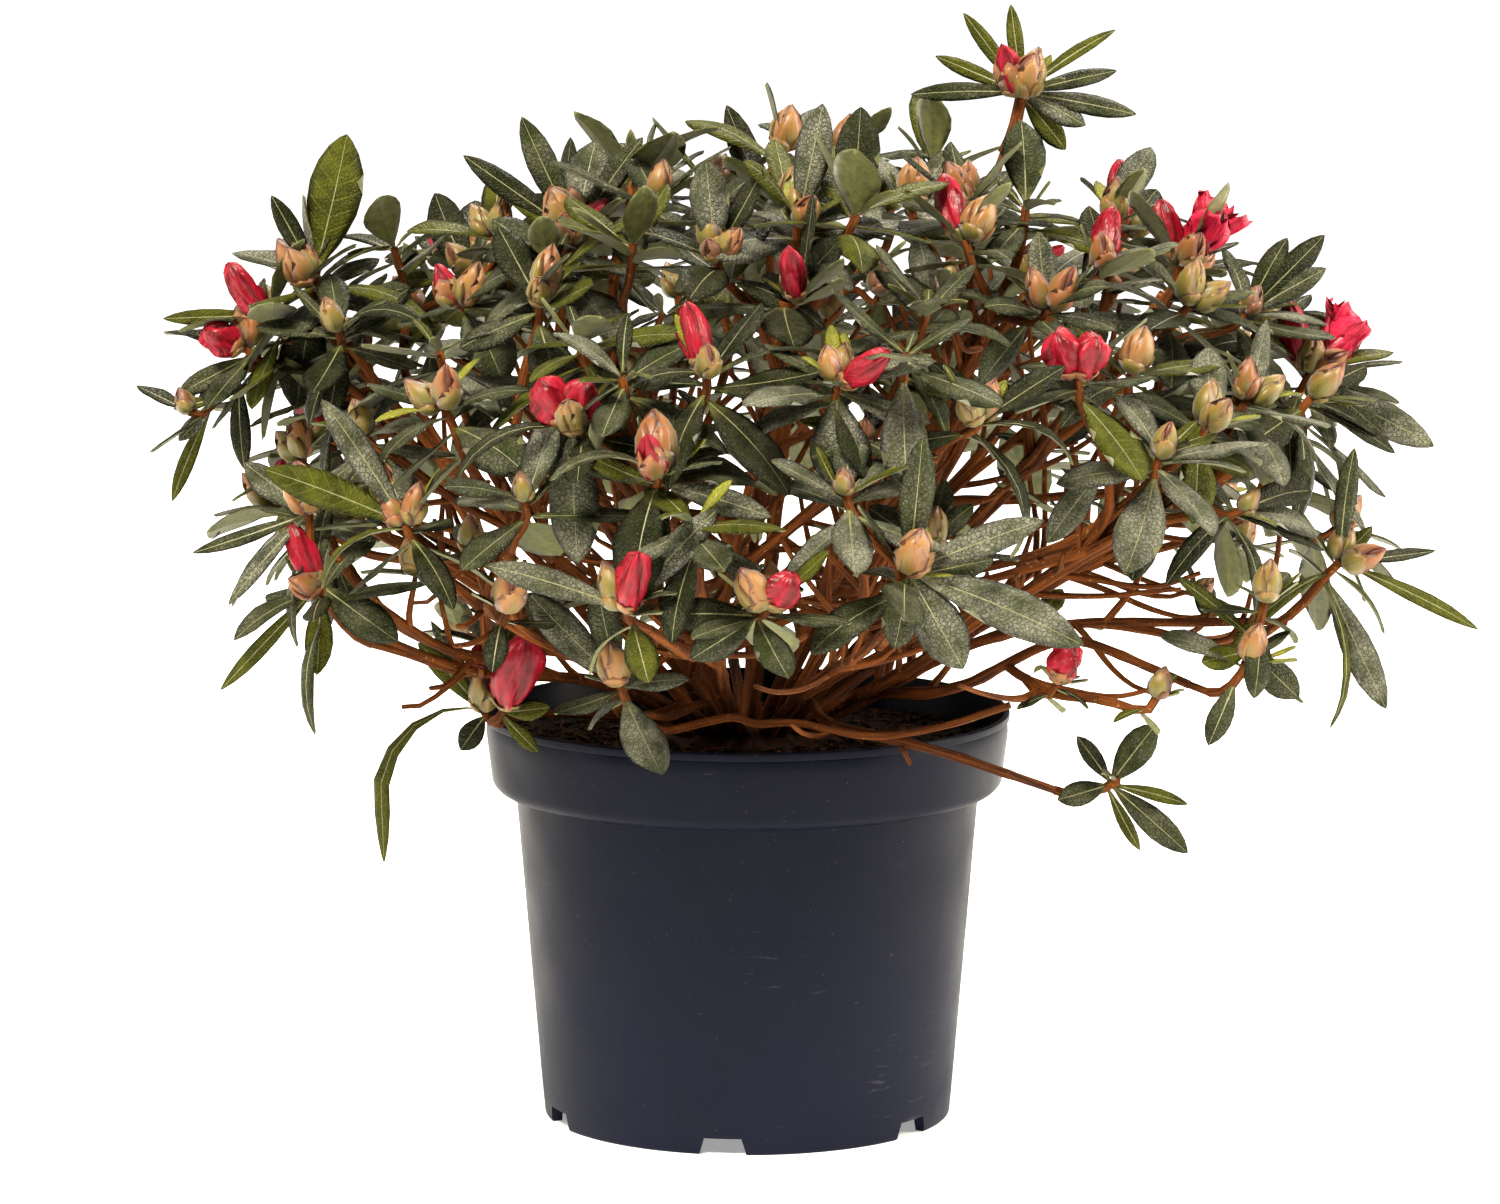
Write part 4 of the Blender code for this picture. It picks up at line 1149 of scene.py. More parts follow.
def off_the_pot(points):
    """Whether no point lies in the pot or in its soil."""
    inside = (np.hypot(points[:, 0], points[:, 1]) < RIM_RADIUS + 0.002) & (points[:, 2] < POT_HEIGHT + 0.002)
    return not inside.any()


def add_leaf(heap, leaf, tone, dice):
    """Adds a leaf, unless it would reach into the pot."""
    points, maps = leaf_points(leaf, dice)
    if off_the_pot(points):
        heap.add(points, LEAF_QUADS, LEAF_KINDS[tone], maps)


def spoke_leaf(root, axis, spoke, lean, length, dice, width=LEAF_WIDTH):
    """A leaf that leans from an axis towards a spoke."""
    sag = UP * -dice.uniform(0.0, 0.22)
    along = (axis * math.cos(lean) + spoke * math.sin(lean) + sag).normalized()
    face = (axis - along * axis.dot(along)).normalized()
    return Leaf(root, along, face, length, length * width * dice.uniform(0.80, 1.22),
                math.radians(dice.uniform(-8, 42)), dice.uniform(0.05, 0.42), dice.uniform(-0.07, 0.07),
                math.radians(dice.uniform(-26, 26)))


def down_line(line, away):
    """The point of a twig at a distance before its end."""
    for after, before in zip(line[::-1], line[-2::-1]):
        step = (after - before).length
        if away <= step:
            return after.lerp(before, away / step)
        away -= step
    return line[0]


def add_rosette(heap, shoot, line):
    """The leaves of a shoot: round its buds, the lowest spreading most, and a few more down its twig."""
    dice = random.Random(f"{shoot.mass} rosette {shoot.number}")
    tone = dice.choice(LEAF_TONES)
    count = dice.randint(*(INNER_ROSETTE if shoot.inner else ROSETTE))
    if shoot.leaves >= 0:
        count = shoot.leaves
    size = LEAF_LENGTH * LEAF_SIZES.get(shoot.mass, 1.0) * shoot.size
    width = LEAF_WIDTH * NARROW_LEAVES.get(shoot.mass, 1)
    widest, risen = (94, 0.68) if shoot.tip.z > TOP_HEIGHT else (114, 0.60)
    for k in range(count):
        share = k / (count - 1)
        turn = k * GOLDEN_ANGLE + dice.uniform(-0.2, 0.2)
        spoke = Quaternion(shoot.axis, turn) @ shoot.side
        if shoot.buds and share > 0.6 and spoke.y < -0.5:
            spoke = Quaternion(shoot.axis, math.radians(100)) @ spoke
        lean = math.radians(widest - risen * widest * share**1.2 + dice.uniform(-14, 14))
        root = down_line(line, ROSETTE_DEPTH * (1 - share))
        length = size * (1.05 - 0.22 * share) * dice.uniform(0.78, 1.18)
        own = tone if dice.random() < 0.65 else dice.choice(LEAF_TONES)
        leaf = spoke_leaf(root, shoot.axis, spoke, lean, length, dice, width)
        if dice.random() < LONG_LEAVES:
            curl = math.radians(dice.uniform(60, 100))
            leaf = leaf._replace(length=length * 1.3, width=leaf.width * 0.6, curl=curl)
        add_leaf(heap, leaf, own, dice)
    for k in range(dice.randint(1, 3)):
        spoke = Quaternion(shoot.axis, (count + k) * GOLDEN_ANGLE) @ shoot.side
        if shoot.buds and spoke.y < -0.3:
            spoke = Quaternion(shoot.axis, math.radians(120)) @ spoke
        root = shoot.tip + spoke * 0.002
        length = size * dice.uniform(0.35, 0.62)
        small = spoke_leaf(root, shoot.axis, spoke, math.radians(dice.uniform(30, 62)), length, dice, 0.28)
        add_leaf(heap, small, dice.choice(YOUNG_TONES), dice)
    if shoot.leaves < 0:
        add_stem_leaves(heap, shoot, line, tone, size, dice)


def on_wood(place, lines):
    """The point of these twigs that is nearest to a place, mostly as seen from the front."""
    starts = np.array([point for line in lines for point in line[:-1]])
    steps = np.array([point for line in lines for point in line[1:]]) - starts
    weights = np.array((1, DEPTH_WEIGHT, 1))
    flat, away = steps * weights, (np.array(place) - starts) * weights
    share = np.clip((flat * away).sum(1) / np.maximum((flat * flat).sum(1), 1e-12), 0, 1)
    nearest = np.linalg.norm(flat * share[:, None] - away, axis=1).argmin()
    return Vector(starts[nearest] + steps[nearest] * share[nearest])


def add_lone_leaves(leaves, sector_of, wood_of):
    """The leaves of the table, each from the nearest twig of its mass and turned towards the front."""
    masses = {mass.name: mass for mass in MASSES}
    for i, (name, (across, up), reach, width, tone) in enumerate(LONE_LEAVES):
        dice = random.Random(f"lone {i}")
        place = lead_of(masses[name]) + Vector((across, 0, up)) * MM
        root = on_wood(place, wood_of[name])
        moved = place - root
        reach = Vector(reach) * MM + Vector((moved.x, 0, moved.z))
        along = reach.normalized()
        towards = Vector((dice.uniform(-0.3, 0.3), -1, dice.uniform(0.2, 0.6)))
        face = (towards - along * along.dot(towards)).normalized()
        leaf = Leaf(root, along, face, reach.length * 1.04, width * MM, math.radians(dice.uniform(4, 26)),
                    dice.uniform(0.05, 0.3), dice.uniform(-0.06, 0.06), math.radians(dice.uniform(-16, 16)))
        add_leaf(leaves[sector_of[name]], leaf, tone, dice)


def add_strap_leaf(heap, lines):
    """The long narrow leaf that hangs at the left of the pot."""
    lead = lead_of(next(mass for mass in MASSES if mass.name == "low_left"))
    root = on_wood(lead + Vector((-0.002, -0.001, -0.0065)), lines)
    along = Vector((-0.97, -0.24, 0.20)).normalized()
    face = (UP - along * along.z).normalized()
    leaf = Leaf(root, along, face, STRAP_LENGTH, STRAP_WIDTH, curl=math.radians(104), fold=0.1, bow=0.02,
                twist=1.2, late=1.0, bends=(0.08, 0.78))
    add_leaf(heap, leaf, "olive", random.Random("strap"))


def add_spray(heap, shoot):
    """The few small leaves of a spur."""
    dice = random.Random(f"{shoot.mass} spray {shoot.number}")
    for k in range(dice.randint(3, 5)):
        spoke = Quaternion(shoot.axis, k * GOLDEN_ANGLE) @ shoot.side
        lean = math.radians(dice.uniform(40, 85))
        length = LEAF_LENGTH * dice.uniform(0.40, 0.72)
        leaf = spoke_leaf(shoot.tip, shoot.axis, spoke, lean, length, dice)
        add_leaf(heap, leaf, dice.choice(LEAF_TONES), dice)


def add_stem_leaves(heap, shoot, line, tone, size, dice):
    """Leaves spaced down the upper part of a twig."""
    count = 0 if shoot.inner else STEM_LEAVES
    away, gone, k = STEM_LEAF_START, 0.0, 0
    for after, before in zip(line[::-1], line[-2::-1]):
        gone += (after - before).length
        while gone > away and k < count:
            axis = (after - before).normalized()
            side = axis.orthogonal().normalized()
            spoke = Quaternion(axis, k * GOLDEN_ANGLE + dice.uniform(0, 1)) @ side
            lean = math.radians(dice.uniform(60, 105))
            length = size * dice.uniform(0.62, 1.0)
            own = tone if dice.random() < 0.5 else dice.choice(LEAF_TONES)
            if before.z > BARE_HEIGHT:
                add_leaf(heap, spoke_leaf(before, axis, spoke, lean, length, dice), own, dice)
            away += STEM_LEAF_STEP * dice.uniform(0.8, 1.4)
            k += 1


# ================================================================ buds and petals
BODY_ROWS, BODY_SIDES = 8, 8
BODY_QUADS = tube_quads(BODY_ROWS, BODY_SIDES)
FURL_ROWS, FURL_SIDES, FURL_PETALS = 13, 32, 3
FURL_QUADS = tube_quads(FURL_ROWS, FURL_SIDES)
SCALE_ROWS, SCALE_COLUMNS = 6, 4
SCALE_QUADS = shell_quads(SCALE_ROWS, SCALE_COLUMNS)
PETAL_ROWS, PETAL_COLUMNS = 10, 7
PETAL_QUADS = shell_quads(PETAL_ROWS, PETAL_COLUMNS)
SCALES = 6
SCALE_THICKNESS, PETAL_THICKNESS = 0.0005, 0.0004
FULL_SCALES = 0.45  # share of them past which they reach the tip of the bud
SCALE_SLOTS = ("orange", "green", "tan", "brown")


def body_profile(t, point):
    """Radius of a bud along its length, as a share of its widest."""
    t = np.clip(t, 0.001, 0.999)
    peak = 0.55 / (0.55 + point)
    return t**0.55 * (1 - t)**point / (peak**0.55 * (1 - peak)**point)


def bud_frame(base, axis):
    """The foot of a bud, its axis, and two directions square to that."""
    side = axis.orthogonal().normalized()
    return np.array(base), np.array(axis), np.array(side), np.array(axis.cross(side))


def on_body(frame_of_bud, kind, scale, angle, t, lift):
    """Points on a bud's skin at angles and shares of its length, lifted off it."""
    base, axis, side, across = frame_of_bud
    radius = kind.radius * scale * body_profile(t, kind.point) + lift
    spokes = np.cos(angle)[..., None] * side + np.sin(angle)[..., None] * across
    return base + axis * (t * kind.length * scale)[..., None] + spokes * radius[..., None]


def sheet_map(rows, columns):
    """The map of a shell, from 0 to 1 across it and along it."""
    uv = np.stack(np.meshgrid(np.linspace(0, 1, columns), np.linspace(0, 1, rows)), -1)
    return shell_values(uv, uv)


def add_scale(heap, frame_of_bud, kind, scale, angle, high, half_angle, lift, kind_index):
    """A scale: a thin shell that wraps a bud from its foot to a height, pointed at its tip."""
    v = np.linspace(0, 1, SCALE_ROWS)[:, None]
    u = np.linspace(-1, 1, SCALE_COLUMNS)[None]
    width = half_angle * (1 - v**3) ** 0.6 * (0.8 + 0.5 * v * (1 - v)) + 0.02
    turned = angle + u * width
    t = high * (v + 0 * u)
    rise = lift * (0.5 + v - 1.35 * v**4) + kind.radius * 0.10 * (1 - u**2) * v * (1 - v)
    upper = on_body(frame_of_bud, kind, scale, turned, t, rise)
    lower = on_body(frame_of_bud, kind, scale, turned, t, rise - SCALE_THICKNESS)
    heap.add(shell_values(upper, lower), SCALE_QUADS, kind_index, sheet_map(SCALE_ROWS, SCALE_COLUMNS))


def add_body(heap, frame_of_bud, kind, scale, kind_index):
    """What the scales of a closed bud cover, as one slim spindle."""
    t = np.repeat(np.linspace(0.0, 1.0, BODY_ROWS), BODY_SIDES).reshape(BODY_ROWS, BODY_SIDES)
    angle = np.tile(np.linspace(0, math.tau, BODY_SIDES, endpoint=False), (BODY_ROWS, 1))
    points = on_body(frame_of_bud, kind, scale, angle, t * 0.96, -kind.radius * 0.15 * (1 - t))
    maps = np.stack([angle / math.tau, 0.3 + 0.7 * t], -1)
    heap.add(points.reshape(-1, 3), BODY_QUADS, kind_index, maps.reshape(-1, 2))


def add_furled(heap, frame_of_bud, kind, scale, dice):
    """Furled petals: a spindle whose edges wind round it, with lengthwise folds."""
    t = np.linspace(0.0, 1.0, FURL_ROWS)[:, None] + np.zeros((1, FURL_SIDES))
    angle = np.linspace(0, math.tau, FURL_SIDES, endpoint=False)[None] + np.zeros((FURL_ROWS, 1))
    wound = angle * FURL_PETALS / math.tau + dice.uniform(0.5, 1.1) * t + dice.uniform(0, 1)
    edge = wound - np.floor(wound)
    folds = np.sin(angle * 8 + t * 3 + dice.uniform(0, 6)) * 0.7
    folds = folds + np.sin(angle * 3 - t * 4 + dice.uniform(0, 6))
    crumple = np.sin(angle * 5 + t * 19 + dice.uniform(0, 6)) * t**2
    body = kind.radius * scale * body_profile(t, kind.point)
    lift = body * (0.40 * edge**1.5 - 0.18 + 0.10 * folds + 0.09 * crumple) + 0.0014 * t**3 * (edge - 0.4)
    points = on_body(frame_of_bud, kind, scale, angle + 0.3 * t, t, lift)
    points = points + frame_of_bud[2] * (kind.length * 0.07 * t**2)[..., None]
    maps = np.stack([angle / math.tau, 0.15 + 0.85 * t], -1)
    heap.add(points.reshape(-1, 3), FURL_QUADS, 0, maps.reshape(-1, 2))


def add_bud(scales, petals, base, axis, letter, dice):
    """One flower bud: furled petals under overlapping scales, and open petals where it blooms."""
    kind = BUDS[letter]
    scale = dice.uniform(0.84, 1.12)
    held = bud_frame(base, axis)
    if kind.cover > 0.9:
        add_body(scales, held, kind, scale, len(SCALE_SLOTS))
    else:
        add_furled(petals, held, kind, scale, dice)
    tone = kind.tone if dice.random() < 0.75 else dice.choice(SCALE_SLOTS[:3])
    start = dice.uniform(0, math.tau)
    for k in range(SCALES):
        share = min(1, k / (SCALES - 1) / FULL_SCALES)
        top = kind.cover * (0.38 + 0.62 * share) * dice.uniform(0.95, 1.02)
        lift = 0.0011 - 0.0007 * k / SCALES + dice.uniform(0, 0.0002)
        own = "green" if k < 3 and dice.random() < 0.6 else tone
        add_scale(scales, held, kind, scale, start + k * GOLDEN_ANGLE, min(top, 0.995),
                  math.radians(70 + 12 * share), lift, SCALE_SLOTS.index(own))
    for k in range(kind.petals):
        add_open_petal(petals, base, axis, kind, scale, start + k * math.tau * 2 / 5, k, dice)


def add_open_petal(heap, base, axis, kind, scale, turn, k, dice):
    """An opening petal, cupped and ruffled, that leans out of its bud."""
    side = Quaternion(axis, turn) @ axis.orthogonal().normalized()
    lean = math.radians(5 + 5 * k + dice.uniform(-4, 6))
    along = np.array(axis * math.cos(lean) + side * math.sin(lean))
    face = np.array(axis * math.sin(lean) - side * math.cos(lean))
    across = np.cross(along, face)
    length = kind.length * scale * dice.uniform(0.95, 1.12)
    v = np.linspace(0, 1, PETAL_ROWS)[:, None]
    u = np.linspace(-1, 1, PETAL_COLUMNS)[None]
    half = 0.0072 * scale * np.sin(np.pi * (0.10 + 0.68 * v)) ** 0.75
    phase = dice.uniform(0, 6)
    ruffle = 0.0012 * v**1.3 * (np.sin(u * 5 + phase) + 0.8 * np.sin(v * 9 + u * 4 + phase * 2))
    cup = 0.0055 * u**2 * (1 - 0.3 * v) - 0.0025 * v**2.5 + ruffle
    reach = v * length * (1 - 0.12 * u**2 * v) + 0.0012 * v * np.sin(u * 9 + phase)
    start = np.array(base + axis * (kind.length * scale * 0.15) + side * 0.0015)
    upper = start + reach[..., None] * along + (u * half)[..., None] * across + cup[..., None] * face
    points = shell_values(upper, upper - PETAL_THICKNESS * face)
    # slot 1 is the open petals' brighter crimson, painted backlight
    heap.add(points, PETAL_QUADS, 1, sheet_map(PETAL_ROWS, PETAL_COLUMNS))


def add_cluster(scales, petals, shoot):
    """The buds at the end of a shoot: the first stands up, the others lean out round it."""
    dice = random.Random(f"{shoot.mass} buds {shoot.number}")
    for k, letter in enumerate(shoot.buds):
        spoke = Quaternion(shoot.axis, k * GOLDEN_ANGLE + dice.uniform(-0.3, 0.3)) @ shoot.side
        lean = math.radians(dice.uniform(4, 14) if len(shoot.buds) == 1 else dice.uniform(16, 30) + 6 * k)
        axis = (shoot.axis * math.cos(lean) + spoke * math.sin(lean)).normalized()
        base = shoot.tip + spoke * (0.0018 * min(1, len(shoot.buds) - 1)) - axis * 0.001
        add_bud(scales, petals, base, axis, letter, dice)


# ================================================================ pot and soil
def arc(centre, radius, first, last, steps):
    """Points of a profile on an arc, angles in degrees."""
    made = []
    for i in range(steps + 1):
        angle = math.radians(first + (last - first) * i / steps)
        made.append((centre[0] + radius * math.cos(angle), centre[1] + radius * math.sin(angle)))
    return made


def pot_profile():
    """The outline of the pot's wall, from under its middle, up its outside, and down its inside."""
    top, body_top = POT_HEIGHT, POT_HEIGHT - COLLAR_HEIGHT
    floor = FOOT_HEIGHT + WALL
    slope = (COLLAR_FOOT_RADIUS - RIM_RADIUS) / (COLLAR_DROP + LIP - COLLAR_HEIGHT)
    foot = BASE_RADIUS - FOOT_WIDTH
    outside = [(PAD_RADIUS, 0), (PAD_RADIUS + PAD_SLOPE, FOOT_HEIGHT), (foot, FOOT_HEIGHT), (foot, 0),
               *arc((BASE_RADIUS - 0.001, 0.001), 0.001, -90, 0, 3)]
    steps = 10
    for i in range(1, steps + 1):
        share = i / steps
        outside.append((BASE_RADIUS + (BODY_TOP_RADIUS - BASE_RADIUS) * share, body_top * share))
    outside[-1] = (BODY_TOP_RADIUS, body_top - 0.0006)
    outside.append((BODY_TOP_RADIUS + 0.0006, body_top))
    for i in range(7):
        angle = math.radians(-90 + 90 * i / 6)
        outside.append((COLLAR_FOOT_RADIUS - COLLAR_ROUNDING * (1 - math.cos(angle)),
                        body_top + COLLAR_DROP * (1 + math.sin(angle))))
    for i in range(1, 5):
        height = (top - LIP - 0.0008 - body_top - COLLAR_DROP) * i / 5
        outside.append((COLLAR_FOOT_RADIUS + slope * height, body_top + COLLAR_DROP + height))
    outside += [(RIM_RADIUS - 0.0008, top - LIP - 0.0008), (RIM_RADIUS - 0.0010, top - LIP - 0.0002)]
    outside += arc((RIM_RADIUS - LIP_ROUND, top - LIP + LIP_ROUND * 0.6), LIP_ROUND, -50, 0, 3)
    outside += arc((RIM_RADIUS - LIP_ROUND, top - LIP_ROUND), LIP_ROUND, 0, 90, 4)
    inside = arc((RIM_RADIUS - WALL + LIP_ROUND * 0.6, top - LIP_ROUND * 0.6), LIP_ROUND * 0.6, 90, 180, 3)
    inside += [(COLLAR_FOOT_RADIUS - WALL, body_top + COLLAR_ROUNDING),
               (BODY_TOP_RADIUS - WALL, body_top - WALL), (BASE_RADIUS - WALL, floor),
               (PAD_RADIUS + PAD_SLOPE - WALL, floor), (PAD_RADIUS - WALL, WALL)]
    return outside + inside


def turned_heap(profile, sides, kind=0):
    """A closed body of revolution about Z whose profile starts and ends near the axis, as a heap."""
    heap = Heap()
    angles = np.linspace(0, math.tau, sides, endpoint=False)
    rings = [np.stack([radius * np.cos(angles), radius * np.sin(angles), np.full(sides, height)], -1)
             for radius, height in profile]
    maps = [np.stack([angles / math.tau, np.full(sides, i / len(profile))], -1) for i in range(len(profile))]
    heap.add(np.concatenate(rings), tube_quads(len(rings), sides), kind, np.concatenate(maps))
    return heap


def cut_notches(pot):
    """Cuts the trapezoid notches out of the foot of the pot."""
    cutters = Heap()
    for i in range(NOTCHES):
        turn = Matrix.Rotation(NOTCH_TURN + math.tau * i / NOTCHES, 3, "Z")
        points = []
        for x, y, z in BOX_POINTS:
            half = NOTCH_WIDTH / 2 * (NOTCH_FLARE if z < 0 else 1)
            out = BASE_RADIUS + (0.004 if y < 0 else -FOOT_WIDTH - 0.004)
            points.append(turn @ Vector((x * half, -out, FOOT_HEIGHT - 0.0004 if z > 0 else -0.002)))
        cutters.add(array(points), BOX_FACES, 0, np.zeros((8, 2)))
    cutter = cutters.make("notches", [])
    cut = pot.modifiers.new("notches", "BOOLEAN")
    cut.operation = "DIFFERENCE"
    cut.object = cutter
    cut.solver = "EXACT"
    graph = bpy.context.evaluated_depsgraph_get()
    joined = bpy.data.meshes.new_from_object(pot.evaluated_get(graph))
    pot.modifiers.clear()
    pot.data = joined
    bpy.data.objects.remove(cutter)
    pot.data.shade_smooth()
    pot.data.set_sharp_from_angle(angle=math.radians(38))


def make_pot(paints):
    """The pot: a turned wall with notches cut out of its foot."""
    pot = turned_heap(pot_profile(), POT_SIDES).make("flower_pot", [paints["pot"]])
    cut_notches(pot)
    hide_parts("pot")


def soil_height(x, y):
    """The height of the soil's surface, lumpy and highest in the middle."""
    away = math.hypot(x, y)
    mound = SOIL_MOUND * max(0.0, 1 - (away / 0.075) ** 2)
    lumps = noise.fractal(Vector((x, y, 0)) * 120, 0.9, 2.1, 4) * 0.0020
    return SOIL_TOP + mound + lumps - 0.001


def make_soil(paints):
    """The peat in the pot, a lumpy surface on a body that follows the wall, with chips and fibres on it."""
    edge = COLLAR_FOOT_RADIUS - WALL + (RIM_RADIUS - COLLAR_FOOT_RADIUS) * 0.4 - 0.0008
    body_top = POT_HEIGHT - COLLAR_HEIGHT
    rings, sides = 34, 96
    profile = [(0.002, 0.003), (BASE_RADIUS - 0.003, FOOT_HEIGHT + 0.003),
               (BODY_TOP_RADIUS - 0.003, body_top - 0.002),
               (COLLAR_FOOT_RADIUS - 0.003, body_top + COLLAR_ROUNDING)]
    profile += [(edge * (1 - i / rings) + 0.0005, 0) for i in range(rings)]
    heap = turned_heap(profile, sides)
    points = heap.points[0]
    for point in points[4 * sides:]:
        point[2] = soil_height(point[0], point[1])
    soil = heap.make("peat", [paints["soil"]])
    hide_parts("soil")
    bits = make_bits(paints, edge)


def make_bits(paints, edge):
    """Chips of bark and peat, and loose root fibres, lying on the soil."""
    dice = random.Random("bits")
    heap = Heap()
    maps = np.tile([[0.5, 0.5]], (8, 1))
    for _ in range(CHIPS):
        angle, away = dice.uniform(0, math.tau), edge * math.sqrt(dice.uniform(0.02, 0.97))
        x, y = away * math.cos(angle), away * math.sin(angle)
        size = np.array([dice.uniform(0.8, 3.2), dice.uniform(0.5, 1.6), dice.uniform(0.3, 0.8)]) * MM
        turn = Matrix.Rotation(dice.uniform(0, 6.28), 3, "Z")
        turn = turn @ Matrix.Rotation(dice.uniform(-0.5, 0.5), 3, "X")
        taper = np.array([[dice.uniform(low, 1) for low in (0.5, 0.5, 0.6)] for _ in range(8)])
        points = (BOX_POINTS * size * taper) @ np.array(turn).T + (x, y, soil_height(x, y) + 0.0004)
        heap.add(points, BOX_FACES, 1 if dice.random() < 0.16 else 0, maps)
    for _ in range(FIBRES):
        angle, away = dice.uniform(0, math.tau), edge * math.sqrt(dice.uniform(0.02, 0.85))
        heading = dice.uniform(0, math.tau)
        point = Vector((away * math.cos(angle), away * math.sin(angle), 0))
        line = []
        for _ in range(6):
            point = point + Vector((math.cos(heading), math.sin(heading), 0)) * dice.uniform(0.0015, 0.003)
            heading += dice.uniform(-0.7, 0.7)
            reach = min(1, edge / max(1e-6, math.hypot(point.x, point.y)))
            lift = 0.0006 + dice.uniform(0, 0.0012)
            line.append(Vector((point.x * reach, point.y * reach, soil_height(point.x, point.y) + lift)))
        add_tube(heap, line, [0.00022] * len(line), 4, dice.choice((0, 1, 1)))
    return heap.make("peat_bits", [paints["chip_dark"], paints["chip_red"]])


def add_root_crown(heap):
    """The low woody crown on the soil: ridges that run out from its middle."""
    rings, sides = 14, 60
    ground = SOIL_TOP + SOIL_MOUND
    points, maps = [], []
    for i in range(rings):
        share = i / (rings - 1)
        for k in range(sides):
            angle = math.tau * k / sides
            ridges = noise.noise(Vector((math.cos(angle) * 3, math.sin(angle) * 3, share * 1.5)))
            radius = STOOL_RADIUS * (1 - share * 0.98) * (1 + 0.10 * ridges)
            height = STOOL_HEIGHT * (1 - (1 - share) ** 2.2) * (1 + 0.22 * ridges)
            points.append((radius * math.cos(angle), radius * math.sin(angle), ground - 0.002 + height))
            maps.append((k / sides * 8, share * 3))
    heap.add(np.array(points), tube_quads(rings, sides), 1, np.array(maps))


# ================================================================ the plant
SECTORS = {
    "front_left": ("crown_left", "front_left_high", "left_front_high", "left_front", "front_middle",
                   "left_low", "low_left", "low_front", "left_high"),
    "front_right": ("leader", "crown_front", "crown_right", "shoulder_right", "right_high",
                    "front_right_high", "front_high", "front_right", "right_tip", "right_low", "runner"),
    "back": ("crown_back", "back_left_high", "back_right_high", "back_left", "back_middle_left",
             "back_middle_right", "back_right", "back_low"),
}


def add_runner_extras(twigs, path):
    """The stub of a twig on the runner, and the stem along the front of the rim."""
    share, direction, length, radius = RUNNER_STUB
    line = smoothed(path, LIMB_RING)
    start = line[round(share * (len(line) - 1))]
    line = smoothed([start, start + direction * length * 0.5, start + direction * length], TWIG_RING)
    add_twig(twigs, wander(line, 0.002, 9.0), radius, radius * 0.7, 9.0)
    line = smoothed([Vector(point) for point in RIM_STEM], LIMB_RING)
    add_twig(twigs, wander(line, 0.0012, 4.0), *RIM_STEM_RADII, 4.0)


def make_plant(paints):
    """The wood, the leaves and the buds, joined into the pieces that replace the CAD's."""
    feet = limb_feet()
    paths = {mass.name: limb_path(mass, feet[mass.name]) for mass in MASSES}
    shoots = all_shoots()
    wood, twigs, scales, petals = Heap(), Heap(), Heap(), Heap()
    leaves = {sector: Heap() for sector in SECTORS}
    sector_of = {name: sector for sector, names in SECTORS.items() for name in names}
    wood_of = {mass.name: [] for mass in MASSES}
    add_root_crown(wood)
    for seed, mass in enumerate(MASSES):
        add_limb(wood, mass, feet[mass.name], paths[mass.name], float(seed))
        own = [shoot for shoot in shoots if shoot.mass == mass.name]
        heap = leaves[sector_of[mass.name]]
        branches = side_branches(mass, paths, own)
        for i, line in enumerate(branches):
            add_twig(twigs, line, BRANCH_RADIUS, TWIG_RADIUS, seed + 40.0 + i * 0.3)
        for i, (line, shoot) in enumerate(spurs(mass, paths[mass.name], branches)):
            line = wander(line, SPUR_WANDER, seed + i * 0.7)
            add_twig(twigs, line, SPUR_RADIUS, SPUR_RADIUS * 0.6, seed + 80.0 + i * 0.3)
            if shoot:
                add_spray(heap, shoot)
                add_cluster(scales, petals, shoot)
        if mass.name == "runner":
            add_runner_extras(twigs, paths["runner"])
        stem, lines = grow_twigs(mass, paths[mass.name], branches, own)
        last = limb_radii(mass, 1)
        add_twig(twigs, smoothed(list(stem), TWIG_RING), last, last, float(seed))
        for shoot, line, first, tip_radius in lines:
            line = wander(line, TWIG_WANDER, float(seed + shoot.number))
            add_twig(twigs, line, first, tip_radius, float(shoot.number))
            wood_of[mass.name].append(line)
            add_rosette(heap, shoot, line)
            add_cluster(scales, petals, shoot)
    add_strap_leaf(leaves["front_left"], wood_of["low_left"])
    add_lone_leaves(leaves, sector_of, wood_of)
    bark = wood.make("limbs", [paints["bark"], paints["old_bark"]])
    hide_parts("root_crown", *(f"bough_{mass.name}" for mass in MASSES if mass.bough))
    twigs.make("twigs", [paints["twig"]])
    scales.make("bud_scales", [paints["scale_" + tone] for tone in SCALE_SLOTS]
                        + [paints["bud_inner"]])
    petals.make("petals", [paints["petal"], paints["petal_open"]])
    tones = [paints["leaf_" + tone] for tone in LEAF_SLOTS] + [paints["leaf_rib"], paints["leaf_back"]]
    for sector, names in SECTORS.items():
        made = leaves[sector].make("leaves_" + sector, tones)
        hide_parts(*(f"foliage_{name}" for name in names))


# ================================================================ stage
WARM = (1.0, 0.93, 0.80)
FLOOR_REACH = 30.0
DIM_FRONT, WHITE_BACK = 0.03, 0.24  # how bright the surround is in front of the plant, and behind it
LAMPS = (  # name, place, width, height, power
    ("key", (-0.45, -1.30, 1.90), 0.7, 0.7, 106),
    ("right", (1.6, -0.05, 0.85), 0.45, 1.4, 54),
    ("left", (-1.6, -0.05, 0.85), 0.45, 1.4, 15),
    ("back", (0.3, 1.3, 1.7), 1.2, 0.8, 38),
)


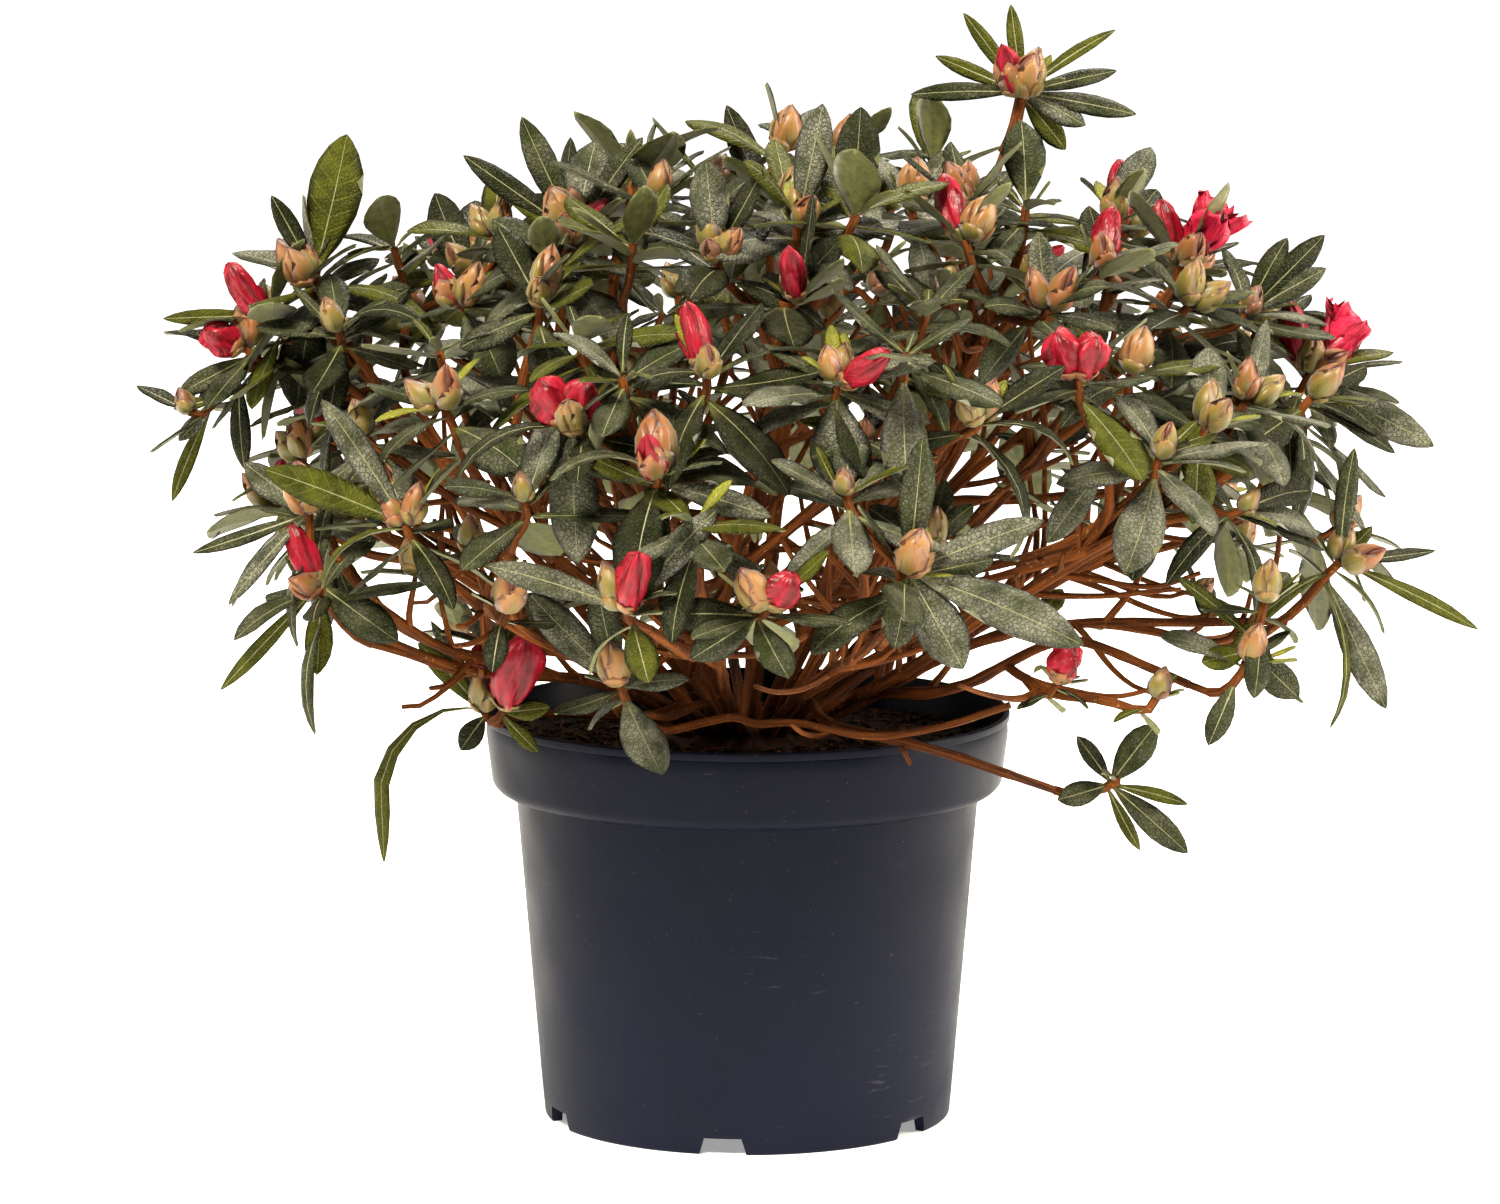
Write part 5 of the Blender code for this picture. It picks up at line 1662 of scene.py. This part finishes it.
def make_stage(paints):
    """A pale floor, a white surround and soft lamps at the sides and above."""
    mesh = bpy.data.meshes.new("floor")
    corners = [(x * FLOOR_REACH, y * FLOOR_REACH, 0) for x, y in ((-1, -1), (1, -1), (1, 1), (-1, 1))]
    mesh.from_pydata(corners, [], [(0, 1, 2, 3)])
    mesh.materials.append(paints["floor"])
    floor = bpy.data.objects.new("floor", mesh)
    bpy.context.scene.collection.objects.link(floor)

    world = bpy.data.worlds.new("studio")
    bpy.context.scene.world = world
    world.use_nodes = True
    nodes, links = world.node_tree.nodes, world.node_tree.links
    shade = nodes["Background"]
    shade.inputs["Color"].default_value = (*WARM, 1)
    direction = nodes.new("ShaderNodeSeparateXYZ")
    links.new(nodes.new("ShaderNodeTexCoord").outputs["Generated"], direction.inputs[0])
    depth = nodes.new("ShaderNodeMapRange")
    links.new(direction.outputs["Y"], depth.inputs[0])
    ends = {"From Min": -0.9, "From Max": 0.5, "To Min": DIM_FRONT, "To Max": WHITE_BACK}
    for socket, value in ends.items():
        depth.inputs[socket].default_value = value
    seen = nodes.new("ShaderNodeMix")
    links.new(nodes.new("ShaderNodeLightPath").outputs["Is Camera Ray"], seen.inputs[0])
    links.new(depth.outputs[0], seen.inputs[2])
    seen.inputs[3].default_value = 1.0
    links.new(seen.outputs[0], shade.inputs["Strength"])
    for name, place, width, height, power in LAMPS:
        add_lamp(name, place, width, height, power)


def add_lamp(name, place, width, height, power):
    """A soft lamp that faces the plant."""
    light = bpy.data.lights.new(name, "AREA")
    light.shape = "RECTANGLE"
    light.size, light.size_y = width, height
    light.energy = power
    light.color = WARM
    lamp = bpy.data.objects.new(name, light)
    lamp.location = place
    lamp.rotation_euler = (Vector((0, 0, 0.2)) - Vector(place)).to_track_quat("-Z", "Y").to_euler()
    bpy.context.scene.collection.objects.link(lamp)


def make_camera():
    """The camera of the photo, and plain colours in the picture."""
    camera = bpy.data.cameras.new("camera")
    camera.lens = LENS
    camera.sensor_width = SENSOR
    held = bpy.data.objects.new("camera", camera)
    held.location = CAMERA_PLACE
    held.rotation_euler = (CAMERA_TARGET - CAMERA_PLACE).to_track_quat("-Z", "Y").to_euler()
    bpy.context.scene.collection.objects.link(held)
    bpy.context.scene.camera = held
    bpy.context.scene.view_settings.view_transform = "Standard"


make_camera()
PAINTS = make_paints()
make_stage(PAINTS)
make_pot(PAINTS)
make_soil(PAINTS)
make_plant(PAINTS)
